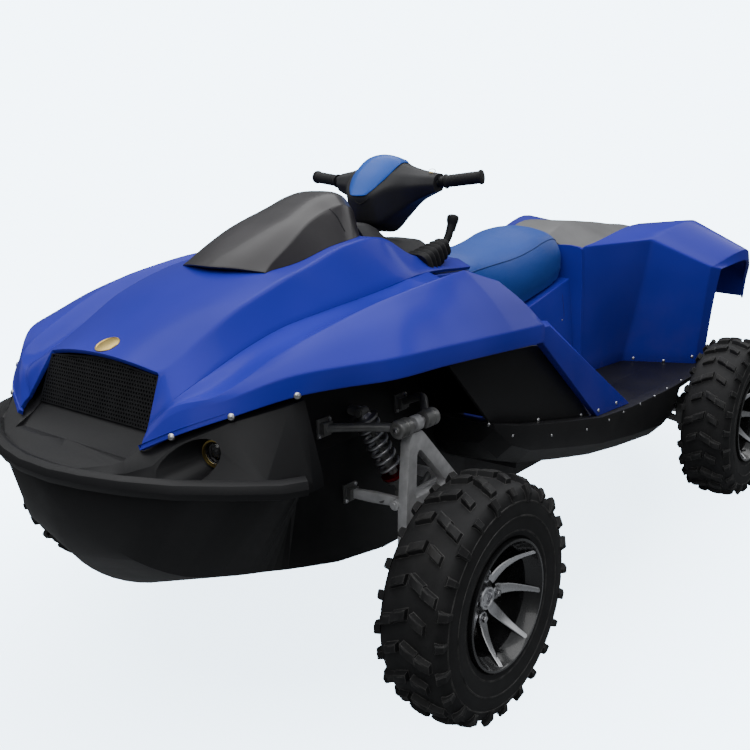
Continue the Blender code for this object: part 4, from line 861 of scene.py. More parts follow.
# Front fender at each point of the seam but the last: its ridge, upper crease, lower edge and inner flange
FENDER = (
    ((0.256, -1.489, 0.799), (0.259, -1.500, 0.786), (0.263, -1.513, 0.768), (0.252, -1.505, 0.762)),
    ((0.312, -1.455, 0.860), (0.325, -1.462, 0.850), (0.345, -1.478, 0.806), (0.330, -1.470, 0.803)),
    ((0.405, -1.400, 0.890), (0.417, -1.403, 0.878), (0.450, -1.397, 0.848), (0.430, -1.388, 0.844)),
    ((0.450, -1.237, 0.963), (0.530, -1.300, 0.930), (0.552, -1.289, 0.886), (0.525, -1.275, 0.882)),
    ((0.490, -1.090, 1.012), (0.603, -1.190, 0.942), (0.608, -1.185, 0.892), (0.575, -1.170, 0.890)),
    ((0.510, -0.980, 1.040), (0.650, -1.110, 0.946), (0.656, -1.112, 0.895), (0.615, -1.100, 0.893)),
    ((0.525, -0.840, 1.062), (0.668, -0.900, 0.938), (0.673, -0.905, 0.889), (0.625, -0.900, 0.887)),
    ((0.536, -0.700, 1.078), (0.668, -0.740, 0.928), (0.672, -0.750, 0.879), (0.625, -0.750, 0.877)),
    ((0.540, -0.610, 1.084), (0.666, -0.560, 0.916), (0.670, -0.570, 0.866), (0.625, -0.570, 0.864)),
    ((0.565, -0.485, 1.040), (0.655, -0.372, 0.902), (0.662, -0.385, 0.852), (0.625, -0.390, 0.850)),
)
# The fender's leg: its corners at the top, at the root and on the side hull's lip
LEG = (
    ((0.655, -0.400, 0.870), (0.652, -0.384, 0.897), (0.618, -0.440, 0.922), (0.625, -0.420, 0.880)),
    ((0.655, -0.380, 0.850), (0.653, -0.334, 0.892), (0.622, -0.300, 0.899), (0.625, -0.380, 0.850)),
    ((0.642, 0.020, 0.5223), (0.630, 0.300, 0.4984), (0.619, 0.300, 0.4984), (0.619, 0.020, 0.5223)),
)
# Row of the fender's peak, and the corner that it turns there
PEAK = 8
PEAK_CORNER = 0.008
# Steps between two stations, along the vehicle and across it
ALONG = 6
ACROSS = 6
# Thickness of the panels, then their body, finish and slot
SKIN = 0.012
REAR_SKIN = 0.014
BLUE = ("chassis", "blue", "blue_paint")
# Storage bin's mouth, cut out of the bonnet
BIN_LOW = (-0.140, -0.960, 0.780)
BIN_HIGH = (0.140, -0.640, 1.200)
# Creases of the bonnet and of the lid: their columns in a row that is mirrored
CREASES = (1, 5)
# Bonnet's crown between the centre line and the crease, as shares of the crease's distance and drop
CROWN = (0.6, 0.3)
# How far a fender's facets bow, as shares of their width, and the side above its lower edge in metres
VALLEY_BOW = 0.10
SHOULDER_BOW = 0.035
SIDE_BOW = 0.001


class AMPHIBIAN_OT_bonnet(bpy.types.Operator):
    """Build the crowned bonnet with its two creases and the mouth of the storage bin"""
    bl_idname = "amphibian.bonnet"
    bl_label = "Bonnet"

    def execute(self, context):
        rows = []
        for (y, z, crease_x, crease_y, crease_z), (valley_x, valley_y, valley_z) in zip(BONNET, VALLEY):
            half = [(0, y, z), (crease_x * CROWN[0], y, z - CROWN[1] * (z - crease_z)),
                    (crease_x, crease_y, crease_z), (valley_x - GAP, valley_y, valley_z)]
            rows.append(mirrored(half) + half)
        sheet = panel_mesh("bonnet_shell", fine_grid(rows, ALONG, ACROSS, (), CREASES, 0.010), (0, 0, 1))
        bonnet = panel("bonnet_shell", sheet, *BLUE, SKIN, "bonnet")
        bm = bmesh.new()
        add_block(bm, BIN_LOW, BIN_HIGH)
        carved(bonnet, plain_mesh("bin_mouth", bm))
        return {"FINISHED"}


class AMPHIBIAN_OT_front_fenders(bpy.types.Operator):
    """Build the two front fenders, each with its leg down to the footwell"""
    bl_idname = "amphibian.front_fenders"
    bl_label = "Front fenders"

    def execute(self, context):
        foot = cornered([(x + GAP, y, z) for x, y, z in VALLEY[:-1]], ALONG, (PEAK,), PEAK_CORNER)
        columns = [cornered(column, ALONG, (PEAK,), PEAK_CORNER) for column in zip(*FENDER)]
        grid = []
        for start, ridge, crease, edge, flange in zip(foot, *columns):
            row = [start, bowed(start, ridge, (-0.3, 0, -1), VALLEY_BOW * (ridge - start).length), ridge,
                   bowed(ridge, crease, (0.5, 0, 1), SHOULDER_BOW * (crease - ridge).length), crease,
                   bowed(crease, edge, (1, 0, 0.1), SIDE_BOW), edge, flange]
            grid.append(cornered(row, 4, (2, 4, 6), 0.007))
        left = panel_mesh("front_fender_shell", grid, (0.3, 0, 1))
        for side, mesh in both_sides(left, "front_fender"):
            panel(f"front_fender_shell_{side}", mesh, *BLUE, SKIN, f"front_fender_{side}")
        leg = lofted("fender_leg_left", [ring_of(ring, 2, 0.004) for ring in LEG], *BLUE, 30)
        SKINS["fender_leg_left"] = tree_of(leg.data)
        right_twin(leg, 30)
        return {"FINISHED"}


FLOOR_Z = 0.4703
# Pedestal under the seat: y, half-width at the foot, half-width at the top, top z
SEAT_BASE = (
    (-0.440, 0.268, 0.258, 1.022),
    (-0.131, 0.255, 0.238, 1.0035),
    (-0.098, 0.252, 0.215, 0.932),
    (-0.060, 0.250, 0.205, 0.904),
    (0.050, 0.248, 0.205, 0.785),
    (0.300, 0.245, 0.205, 0.800),
    (0.640, 0.240, 0.205, 0.873),
)
# Seam down its side, as the photograph shows it
BASE_SEAM = ((561.0, 284.0), (562.3, 296.0), (563.4, 308.0), (563.8, 316.0))
# Plate behind the seat: its two faces, and x and z of its left edge from the foot up
BULKHEAD_Y = (0.6405, 0.6560)
BULKHEAD = ((0.2620, FLOOR_Z), (0.2610, 0.860), (0.2560, 0.992), (0.2400, 1.000), (0.2000, 1.006))
# Rear fender rows of (x, y, z), each from the inner edge round to the return at the outer edge
REAR_FENDER = (
    ((0.250, 0.650, FLOOR_Z), (0.290, 0.985, FLOOR_Z), (0.568, 1.100, FLOOR_Z), (0.586, 1.150, FLOOR_Z)),
    ((0.250, 0.650, 0.900), (0.375, 1.005, 0.900), (0.596, 1.122, 0.820), (0.620, 1.172, 0.815)),
    ((0.250, 0.670, 1.000), (0.385, 1.020, 1.000), (0.602, 1.130, 0.885), (0.628, 1.180, 0.872)),
    ((0.2360, 1.400, 1.018), (0.420, 1.440, 1.040), (0.645, 1.465, 0.920), (0.650, 1.470, 0.870)),
    ((0.2360, 1.615, 0.930), (0.400, 1.617, 0.915), (0.590, 1.620, 0.810), (0.595, 1.620, 0.760)),
    ((0.2360, 1.627, 0.700), (0.400, 1.627, 0.700), (0.580, 1.627, 0.690), (0.585, 1.627, 0.680)),
)


class AMPHIBIAN_OT_rear_fenders(bpy.types.Operator):
    """Build the two rear fenders that wrap the wheel arch"""
    bl_idname = "amphibian.rear_fenders"
    bl_label = "Rear fenders"

    def execute(self, context):
        grid = fine_grid(REAR_FENDER, 8, 8, (2, 4), (1, 2), 0.014)
        left = panel_mesh("rear_fender_shell", grid, (0.4, -0.4, 1))
        for side, mesh in both_sides(left, "rear_fender"):
            panel(f"rear_fender_shell_{side}", mesh, *BLUE, REAR_SKIN, f"rear_fender_{side}")
        return {"FINISHED"}


class AMPHIBIAN_OT_seat_base(bpy.types.Operator):
    """Build the pedestal under the seat with its seams, and the plate behind the seat"""
    bl_idname = "amphibian.seat_base"
    bl_label = "Seat base"

    def execute(self, context):
        halves = [[(x, y, z) for x, z in BULKHEAD] for y in BULKHEAD_Y]
        lofted("seat_bulkhead", [half + mirrored(half) for half in halves], *BLUE, 30)
        rings = []
        for y, foot_x, top_x, top_z in SEAT_BASE:
            half = [(foot_x, y, FLOOR_Z), (top_x, y, top_z)]
            rings.append(ring_of(half + mirrored(half), 2, 0.008))
        stand_for(lofted("seat_base_shell", rings, *BLUE, 24), "seat_base")
        right_twin(seam("seat_base_seam_left", "chassis", BASE_SEAM, "seat_base", 0.0012, 0.0003),
                   40)
        return {"FINISHED"}


# Dark cowl, bars and gear lever

# Storage lid stations: y on the centre line, half-width, side z below the bonnet's face, shoulder x and z,
# top z, and how far the row sweeps back with the square of x
LID = (
    (-1.050, 0.190, 1.062, 0.170, 1.102, 1.112, 1.50),
    (-1.012, 0.192, 1.066, 0.164, 1.116, 1.140, 1.05),
    (-0.972, 0.194, 1.074, 0.162, 1.134, 1.163, 0.70),
    (-0.915, 0.198, 1.086, 0.158, 1.160, 1.190, 0.35),
    (-0.852, 0.202, 1.100, 0.148, 1.190, 1.215, 0.10),
    (-0.790, 0.204, 1.114, 0.134, 1.216, 1.236, 0.0),
    (-0.720, 0.202, 1.128, 0.126, 1.238, 1.262, 0.0),
    (-0.665, 0.196, 1.136, 0.128, 1.250, 1.281, -0.3),
    (-0.615, 0.182, 1.142, 0.128, 1.250, 1.290, -0.6),
    (-0.566, 0.152, 1.146, 0.117, 1.233, 1.282, -1.1),
    (-0.535, 0.116, 1.155, 0.092, 1.205, 1.254, -1.5),
)
# Lid's crown between the centre line and the shoulder, as shares of the shoulder's distance and drop
LID_CROWN = (0.62, 0.22)
# Seam round the lid's rear, as the photograph shows it
LID_GROOVE = ((329.5, 209.0), (336.5, 216.0), (341.0, 224.0), (345.0, 231.5))
# A height above the whole vehicle
OVERHEAD = 2.0


def bonnet_height(x, y):
    """The bonnet's outer face at a place."""
    place = skin("bonnet").ray_cast(Vector((x, y, OVERHEAD)), Vector((0, 0, -1)))[0]
    return place.z if place else 0.0


def seated_row(row, clearance=0.0012):
    """Ends a lid's row on the bonnet's face: points below it go back along the row to the face."""
    def above(point):
        return point.z - bonnet_height(point.x, point.y) - clearance

    def trimmed(line):
        top = line[0]
        for i, point in enumerate(line):
            if above(point) < 0:
                low, high = top, point
                for _ in range(12):
                    middle = (low + high) / 2
                    low, high = (middle, high) if above(middle) > 0 else (low, middle)
                return line[:i] + [low] * (len(line) - i)
            top = point
        return line

    middle = len(row) // 2
    return list(reversed(trimmed(list(reversed(row[:middle + 1]))))) + trimmed(row[middle:])[1:]


class AMPHIBIAN_OT_lid(bpy.types.Operator):
    """Build the dark cowl that is the storage lid"""
    bl_idname = "amphibian.lid"
    bl_label = "Storage lid"

    def execute(self, context):
        rows = []
        for y, half_width, side_z, shoulder_x, shoulder_z, top_z, sweep in LID:
            half = [(0, y, top_z), (shoulder_x * LID_CROWN[0], y, top_z - LID_CROWN[1] * (top_z - shoulder_z)),
                    (shoulder_x, y, shoulder_z), (half_width, y, side_z)]
            half = [(x, y + sweep * x * x, z) for x, y, z in half]
            rows.append(mirrored(half) + half)
        grid = [seated_row(row) for row in fine_grid(rows, ALONG, 8, (), CREASES, 0.032)]
        sheet = panel_mesh("lid_shell", grid, (0, 0, 1))
        panel("lid_shell", sheet, "lid", "cowl", "grey_gloss", 0.006, "storage_lid")
        seam("lid_groove", "lid", LID_GROOVE, "storage_lid", 0.0013, 0.0002)
        return {"FINISHED"}


# Bar pod: x, then (y, z) of seven corners round each section, from the lower front over the top to the foot
POD = (
    (0.000, (-0.400, 1.172), (-0.425, 1.260), (-0.358, 1.338), (-0.300, 1.382), (-0.205, 1.370),
     (-0.175, 1.320), (-0.285, 1.134)),
    (0.050, (-0.394, 1.174), (-0.414, 1.266), (-0.354, 1.336), (-0.295, 1.374), (-0.210, 1.361),
     (-0.180, 1.310), (-0.280, 1.138)),
    (0.080, (-0.362, 1.194), (-0.388, 1.282), (-0.338, 1.330), (-0.282, 1.360), (-0.222, 1.350),
     (-0.190, 1.300), (-0.260, 1.176)),
    (0.130, (-0.300, 1.238), (-0.326, 1.288), (-0.306, 1.322), (-0.268, 1.341), (-0.222, 1.335),
     (-0.203, 1.300), (-0.236, 1.236)),
    (0.205, (-0.282, 1.269), (-0.292, 1.292), (-0.283, 1.316), (-0.260, 1.327), (-0.235, 1.324),
     (-0.222, 1.303), (-0.238, 1.271)),
)
# Sections that the cap lies on, with the corners from the front up to the rear
CAP_SECTIONS = [(x, *points[1:5]) for x, *points in POD[:3]]
CAP_CENTRE = Vector((0, -0.280, 1.280))
# Height of the cap above the pod, and the share of it that is lost towards its edges
CAP_LIFT = 0.0045
CAP_EDGE_LOSS = 0.8
CAP_COLUMNS = 12
# Half-width of the cap as a share of the widest section, along its length
CAP_WIDTH = ((0.02, 0.42), (0.10, 0.68), (0.25, 0.90), (0.45, 0.97), (0.70, 0.97), (0.90, 0.86), (0.985, 0.62))


class AMPHIBIAN_OT_cap(bpy.types.Operator):
    """Build the blue cap on the bar pod"""
    bl_idname = "amphibian.cap"
    bl_label = "Pod cap"

    def execute(self, context):
        half = [line_through([(x, *point) for point in points], 12) for x, *points in CAP_SECTIONS]
        sections = [[Vector((-p.x, p.y, p.z)) for p in line] for line in reversed(half[1:])] + half
        widest = CAP_SECTIONS[-1][0]
        grid = []
        for station in line_through([(at, share, 0) for at, share in CAP_WIDTH], 5):
            place = station.x * (len(sections[0]) - 1)
            low = int(place)
            ribs = [line[low].lerp(line[min(low + 1, len(line) - 1)], place - low) for line in sections]
            profile = line_through(ribs, 8)
            row = []
            for i in range(2 * CAP_COLUMNS + 1):
                aside = i / CAP_COLUMNS - 1
                x = aside * widest * station.y
                j = max(k for k in range(len(profile) - 1) if profile[k].x <= x + 1e-9)
                t = (x - profile[j].x) / (profile[j + 1].x - profile[j].x)
                point = profile[j].lerp(profile[j + 1], t)
                lift = CAP_LIFT * (1 - aside ** 6 * CAP_EDGE_LOSS)
                row.append(point + (point - CAP_CENTRE).normalized() * lift)
            grid.append(row)
        sheet = panel_mesh("cap_shell", grid, (0, -0.3, 1))
        panel("cap_shell", sheet, "bars", "cap", "cap_blue", 0.0035, "pod_cap")
        return {"FINISHED"}


# Groove under the cap, as the photograph shows it
POD_GROOVE = ((355.0, 201.0), (359.0, 204.0), (364.0, 202.0), (369.5, 198.0))
# One half of the tube that carries the grips
BAR_HALF = ((0.040, -0.300, 1.270), (0.090, -0.300, 1.270), (0.220, -0.255, 1.300), (0.353, -0.230, 1.314))
# Grip: radius and distance along it from its inner flange
GRIP = (
    (0.0, 0.0), (0.0225, 0.0), (0.0235, 0.002), (0.0235, 0.005), (0.0205, 0.008), (0.0192, 0.012),
    (0.0196, 0.060), (0.0200, 0.085), (0.0196, 0.112), (0.0200, 0.117), (0.0225, 0.119), (0.0230, 0.122),
    (0.0225, 0.126), (0.0160, 0.1285), (0.0, 0.1285),
)
# Ribs of a grip: how many, the first one's distance from the flange, their spacing and their radius
GRIP_RIBS = 9
RIB_START = 0.018
RIB_PITCH = 0.0105
RIB_RADIUS = 0.0192
# Collar on the tube beside the grip, and how far inside the tube's bend it starts
COLLAR = ((0.0, 0.0), (0.0165, 0.0), (0.0180, 0.003), (0.0180, 0.016), (0.0150, 0.019), (0.0, 0.019))
COLLAR_START = -0.012
STEM = ((0.0, 0.0), (0.0225, 0.0), (0.0225, 0.110), (0.0, 0.110))
STEM_TOP = (0, -0.300, 1.270)
STEM_FOOT = (0, -0.35705, 1.14765)
# Tether ring: its centre and its two half axes
TETHER = (Vector((0.186, -0.268, 1.3345)), Vector((0.010, 0.004, 0)), Vector((0, 0, 0.006)))


def add_bar_half(bm, half):
    """One side's tube with its grip, the grip's ribs and the collar."""
    route = [Vector((x * half, y, z)) for x, y, z in BAR_HALF]
    add_tube(bm, line_through(route, 6), 0.0110, 16, 1)
    along = (route[3] - route[2]).normalized()
    foot = route[3] - along * GRIP[-1][1]
    add_turned(bm, GRIP, foot, along, 32)
    first, second = across(along)
    for i in range(GRIP_RIBS):
        centre = foot + along * (RIB_START + RIB_PITCH * i)
        add_tube(bm, circle(centre, first, second, RIB_RADIUS, 24), 0.0012, 6, closed=True)
    add_turned(bm, COLLAR, route[2] + along * COLLAR_START, along, 24, 1)


class AMPHIBIAN_OT_bars(bpy.types.Operator):
    """Build the bar pod, the tube with its stem and grips, and the tether ring"""
    bl_idname = "amphibian.bars"
    bl_label = "Bars"

    def execute(self, context):
        stations = [(-x, *points) for x, *points in reversed(POD[1:])] + list(POD)
        rings = [[(x, *point) for point in points] for x, *points in stations]
        pod = moulding("bar_pod_shell", rings, (4, 2), 0.016, "bars", "pod", "black_plastic", 50)
        stand_for(pod, "bar_pod")
        seam("pod_groove", "bars", POD_GROOVE, "bar_pod", 0.0016, 0.0004)
        bm = bmesh.new()
        for half in (1, -1):
            add_bar_half(bm, half)
        add_turned(bm, STEM, STEM_FOOT, Vector(STEM_TOP) - Vector(STEM_FOOT), 24, 1)
        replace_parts(piece("bars_and_grips", bm, "bars", ["grip", "black"], 40), "handlebar")
        bm = bmesh.new()
        add_tube(bm, circle(*TETHER, 1, 28), 0.0011, 6, closed=True)
        piece("tether_ring", bm, "bars", ["gold"], 40)
        return {"FINISHED"}


# Gear lever: foot and top of the boot, then the stick's route up to the knob
BOOT_FOOT = Vector((0.196, -0.352, 1.044))
BOOT_TOP = Vector((0.209, -0.232, 1.098))
STICK = ((0.207, -0.246, 1.092), (0.212, -0.224, 1.118), (0.213, -0.212, 1.140), (0.213, -0.204, 1.158))
# Half-width of the boot and distance up its axis, as shares
BOOT_FOLDS = (
    (0.046, -0.080), (0.0485, 0.030), (0.045, 0.085), (0.039, 0.125), (0.0440, 0.190), (0.0435, 0.225),
    (0.036, 0.290), (0.0410, 0.360), (0.0400, 0.395), (0.0330, 0.460), (0.0375, 0.530), (0.0365, 0.565),
    (0.0300, 0.630), (0.0340, 0.700), (0.0330, 0.735), (0.0270, 0.800), (0.0300, 0.870), (0.0280, 0.930),
    (0.0160, 1.000),
)
KNOB = ((0.0, -0.004), (0.0135, -0.004), (0.0145, 0.006), (0.0165, 0.018), (0.0190, 0.026), (0.0200, 0.034),
        (0.0195, 0.042), (0.0160, 0.047), (0.0090, 0.0495), (0.0, 0.050))


# Power of the boot's squared section
BOOT_SQUARE = 3.6


class AMPHIBIAN_OT_gear_lever(bpy.types.Operator):
    """Build the gear lever in its folded boot"""
    bl_idname = "amphibian.gear_lever"
    bl_label = "Gear lever"

    def execute(self, context):
        axis = BOOT_TOP - BOOT_FOOT
        length = axis.length
        axis.normalize()
        side = Vector((1, 0, 0))
        side = (side - axis * side.dot(axis)).normalized()
        lift = axis.cross(side)
        rings = []
        for half, share in BOOT_FOLDS:
            ring = []
            for angle in (math.tau * i / 40 for i in range(40)):
                c, w = math.cos(angle), math.sin(angle)
                reach = half / (abs(c) ** BOOT_SQUARE + abs(w) ** BOOT_SQUARE) ** (1 / BOOT_SQUARE)
                ring.append(BOOT_FOOT + axis * length * share + (side * c + lift * w) * reach)
            rings.append(ring)
        bm = bmesh.new()
        add_loft(bm, rings)
        route = line_through(STICK, 5)
        add_tube(bm, route, [0.0125 + 0.0001 * i for i in range(len(route))], 20)
        add_turned(bm, KNOB, Vector(STICK[-1]) - Vector((0, 0, 0.014)), (0.02, 0.25, 1.0), 28)
        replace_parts(piece("folded_boot_lever", bm, "chassis", ["grip"], 50), "gear_lever")
        return {"FINISHED"}


# Seat

# Stations: y, half-width, top z and bottom z, a little inside the real size before it is stuffed
SEAT_STATIONS = (
    (-0.048, 0.085, 0.948, 0.910), (0.000, 0.130, 0.985, 0.860), (0.055, 0.160, 1.020, 0.800),
    (0.160, 0.180, 1.034, 0.803), (0.300, 0.190, 1.046, 0.811), (0.400, 0.194, 1.062, 0.832),
    (0.500, 0.195, 1.085, 0.851), (0.570, 0.190, 1.084, 0.867), (0.615, 0.178, 1.062, 0.876),
    (0.632, 0.160, 1.030, 0.884),
)
# Size of the mesh that is stuffed, and how many frames the stuffing takes
SEAT_GRAIN = 0.006
STUFFING_FRAMES = 20
# Seams: y of the one across the top, and the rim's place as shares of the half-width and of the height
SEAT_CHANNEL_Y = 0.375
SEAT_RIM = (0.86, 0.22)


def seat_ring(y, half_width, top, bottom):
    """Section of the seat: flat foot, sides that lean out and a crowned top."""
    height = top - bottom
    half = [(0, top), (half_width * 0.45, top - 0.010 * min(1.0, height / 0.2)),
            (half_width * 0.80, top - 0.16 * height), (half_width * 0.985, top - 0.45 * height),
            (half_width, bottom + 0.22 * height), (half_width * 0.93, bottom)]
    line = line_through([(x, y, z) for x, z in half[:-1]], 5)
    line = cornered([*line, Vector((half[-1][0], y, bottom))], 1)
    return line + mirrored(line)


def stuffed(mesh, seams, settings):
    """Swells a closed mesh with a cloth simulation. Points on its seams and its foot stay where they are."""
    obj = linked("seat_form", mesh)
    weave = obj.modifiers.new("Weave", "REMESH")
    weave.mode = "VOXEL"
    weave.voxel_size = SEAT_GRAIN
    obj.data = kept(obj)
    obj.modifiers.clear()
    rest = [v.co.copy() for v in obj.data.vertices]
    held = obj.vertex_groups.new(name="held")
    for vertex in obj.data.vertices:
        near = min(seams(vertex.co), 1.0)
        if near < 1.0:
            held.add([vertex.index], 1.0 - near, "REPLACE")
    cloth = obj.modifiers.new("Cloth", "CLOTH")
    cloth.settings.quality = 4
    cloth.settings.mass = 0.4
    cloth.settings.tension_stiffness = 12
    cloth.settings.compression_stiffness = 12
    cloth.settings.shear_stiffness = 6
    cloth.settings.bending_stiffness = 1.5
    cloth.settings.use_pressure = True
    cloth.settings.uniform_pressure_force = settings.pressure
    cloth.settings.effector_weights.gravity = 0
    cloth.settings.vertex_group_mass = "held"
    cloth.point_cache.frame_start = 1
    cloth.point_cache.frame_end = STUFFING_FRAMES
    scene = bpy.context.scene
    for number in range(1, STUFFING_FRAMES + 1):
        scene.frame_set(number)
    swollen = kept(obj)
    scene.frame_set(1)
    for vertex, start in zip(swollen.vertices, rest):
        move = vertex.co - start
        if move.length > settings.cap:
            move *= settings.cap / move.length
        vertex.co = start + move
    bpy.data.objects.remove(obj, do_unlink=True)
    return swollen


def seat_seams(point):
    """0 on a seam or on the seat's foot, and 1 away from them."""
    along = [y for y, *_ in SEAT_STATIONS]
    i = max(0, min(len(along) - 2, sum(point.y > y for y in along) - 1))
    (y0, *low), (y1, *high) = SEAT_STATIONS[i], SEAT_STATIONS[i + 1]
    t = min(1.0, max(0.0, (point.y - y0) / (y1 - y0)))
    half_width, top, bottom = (a + (b - a) * t for a, b in zip(low, high))
    foot = abs(point.z - bottom) / 0.020
    rim = math.hypot(abs(point.x) - half_width * SEAT_RIM[0],
                     (point.z - (top - SEAT_RIM[1] * (top - bottom)))) / 0.012
    channel = abs(point.y - SEAT_CHANNEL_Y) / 0.010 if point.z > bottom + 0.6 * (top - bottom) else 1.0
    return min(foot, rim, channel)


class AMPHIBIAN_OT_seat(bpy.types.Operator):
    """Build the stuffed vinyl seat with its piping"""
    bl_idname = "amphibian.seat"
    bl_label = "Seat"

    def execute(self, context):
        settings = context.scene.amphibian_seat
        stations = line_through([(y, w, t) for y, w, t, _ in SEAT_STATIONS], 3)
        bottoms = line_through([(y, b, 0) for y, _, _, b in SEAT_STATIONS], 3)
        bm = bmesh.new()
        add_loft(bm, [seat_ring(s.x, s.y, s.z, b.y) for s, b in zip(stations, bottoms)])
        mesh = made_mesh("seat_form", bm)
        mesh = stuffed(mesh, seat_seams, settings)
        seat = mesh_piece("vinyl_seat", mesh, "chassis", ["vinyl"], 60)
        finer = seat.modifiers.new("Finer", "SUBSURF")
        finer.levels = 1
        finer.render_levels = 1
        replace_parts(seat, "seat")
        tree = tree_of(mesh)
        bm = bmesh.new()
        for half in (1, -1):
            route = []
            for s, b in list(zip(stations, bottoms))[2:-1]:
                rim = Vector((half * s.y * SEAT_RIM[0], s.x, s.z - SEAT_RIM[1] * (s.z - b.y)))
                route.append(tree.find_nearest(rim)[0])
            add_tube(bm, line_through(route, 3), 0.0026, 8)
        piece("seat_piping", bm, "chassis", ["piping"], 50)
        return {"FINISHED"}


# Fasteners, where the photograph shows their heads
SIDE_BOLTS = ((488.3, 424.3), (538.2, 420.2), (581.1, 415.0), (598.4, 410.5), (616.2, 403.1))
LIP_RIVETS = (
    (512.8, 435.8), (551.8, 435.4), (586.9, 429.5), (609.2, 420.0), (623.7, 412.0), (640.3, 403.9),
    (654.5, 395.7), (666.9, 388.0), (680.9, 379.8), (693.8, 372.6), (705.4, 364.5),
)
REAR_BOLTS = ((633.1, 358.3), (663.4, 360.9), (691.9, 356.8))
NOSE_BOLTS = ((171.0, 437.0), (231.1, 417.1), (297.4, 396.1))
BASE_BOLTS = ((562.0, 320.0),)
BADGE_PIXEL = (107.4, 344.7)
# Bolt's head: radius and height as shares of its radius, but its foot's depth in metres
HEAD = ((0.0, -0.004), (1.0, -0.004), (1.0, 0.0006), (0.93, 0.16), (0.74, 0.36), (0.42, 0.50), (0.0, 0.55))
# Badge: raised rim and domed field, and how much longer than round it is
BADGE_RIM = ((0.0, -0.003), (0.0315, -0.003), (0.0320, 0.0010), (0.0310, 0.0026), (0.0285, 0.0030),
             (0.0272, 0.0016))
BADGE_FIELD = ((0.0272, 0.0016), (0.0200, 0.0030), (0.0100, 0.0038), (0.0, 0.0040))
BADGE_STRETCH = 0.10


class AMPHIBIAN_OT_fasteners(bpy.types.Operator):
    """Build the bright bolt heads, the rivets and the plain badge"""
    bl_idname = "amphibian.fasteners"
    bl_label = "Fasteners"

    def execute(self, context):
        side_nodes = ["side_panel_left", "side_hull_left", "fender_leg_left"]
        bm = bmesh.new()
        for pixels, nodes, radius in (
                (SIDE_BOLTS, side_nodes, 0.0068), (LIP_RIVETS, ["side_hull_left"], 0.0040),
                (REAR_BOLTS, ["rear_fender_left"], 0.0072), (NOSE_BOLTS, ["front_fender_left"], 0.0088),
                (BASE_BOLTS, ["seat_base"], 0.0050)):
            profile = [(r * radius, d * radius if d > 0 else d) for r, d in HEAD]
            for pixel in pixels:
                add_turned(bm, profile, *sighted(pixel, nodes), 20)
        right_twin(piece("bolt_heads_left", bm, "chassis", ["bright"], 50), 50)
        place, normal = sighted(BADGE_PIXEL, ["bonnet"])
        bm = bmesh.new()
        add_parts(bm, ((BADGE_RIM, 56, 0), (BADGE_FIELD, 56, 0)), place, normal)
        for vertex in bm.verts:
            vertex.co.x += (vertex.co.x - place.x) * BADGE_STRETCH
        piece("oval_badge", bm, "chassis", ["gold"], 40)
        return {"FINISHED"}


# Black and grey mouldings

# Rear cover: y, half-width at the foot, shoulder x and z, centre z
REAR_COVER = (
    (0.643, 0.2520, 0.190, 0.990, 1.040), (0.760, 0.2500, 0.205, 1.010, 1.078),
    (1.000, 0.2470, 0.212, 1.018, 1.068), (1.200, 0.2440, 0.212, 1.010, 1.042),
    (1.400, 0.2400, 0.212, 0.998, 1.014), (1.590, 0.2400, 0.212, 0.900, 0.912),
)
REAR_COVER_FOOT = 0.60
# Console: y, half-width at the foot, foot z, half-width at the top, top z
CONSOLE = (
    (-0.525, 0.150, 1.100, 0.076, 1.186), (-0.480, 0.168, 1.095, 0.084, 1.184),
    (-0.440, 0.172, 1.088, 0.086, 1.168), (-0.400, 0.166, 1.075, 0.086, 1.140),
    (-0.330, 0.158, 1.060, 0.088, 1.117), (-0.260, 0.146, 1.045, 0.088, 1.112),
    (-0.200, 0.134, 1.035, 0.086, 1.106), (-0.165, 0.124, 1.028, 0.080, 1.088),
    (-0.150, 0.120, 1.025, 0.075, 1.070),
)


class AMPHIBIAN_OT_mouldings(bpy.types.Operator):
    """Finish the black hull, nose, side panels and inner body, and build the console and the rear cover"""
    bl_idname = "amphibian.mouldings"
    bl_label = "Mouldings"

    def execute(self, context):
        dress(["hull", "nose_moulding", "inner_body", *sides("side_hull", "side_panel")], "black", 0.003)
        rings = []
        for y, half_width, base_z, top_x, top_z in CONSOLE:
            half = [(0, y, base_z), (half_width, y, base_z), (top_x, y, top_z), (0, y, top_z + 0.004)]
            rings.append(half + mirrored(half))
        console = moulding("steering_console_shell", rings, (5, 3), 0.012, "chassis", "pod", "grey_gloss", 40)
        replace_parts(console, "steering_console")
        rings = []
        for y, floor_x, shoulder_x, shoulder_z, centre_z in REAR_COVER:
            half = [(0, y, centre_z), (shoulder_x * 0.5, y, centre_z), (shoulder_x, y, shoulder_z),
                    (floor_x, y, shoulder_z - 0.022), (floor_x, y, REAR_COVER_FOOT)]
            rings.append(half + mirrored(half))
        cover = moulding("rear_cover_shell", rings, (5, 3), 0.008, "chassis", "cover", "grey_gloss", 30)
        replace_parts(cover, "rear_cover")
        return {"FINISHED"}


class AMPHIBIAN_OT_running_gear(bpy.types.Operator):
    """Finish the rear arms, the knuckles, the shafts, the engine and the water jet"""
    bl_idname = "amphibian.running_gear"
    bl_label = "Running gear"

    def execute(self, context):
        dress(sides("rear_arm", "front_knuckle"), "arm", 0.0015)
        dress(sides("rear_half_shaft"), "bright", 0.001)
        dress(["engine"], "engine", 0.006)
        dress(["jet_pump", "jet_nozzle", "reverse_bucket"], "engine", 0.0012)
        dress(["impeller"], "bright", 0.0008)
        return {"FINISHED"}


# Wheels, each built round its hub with its outer side at +X

HUB_CENTRE = Vector((0, 0, 0))
OUTWARD = Vector((1, 0, 0))
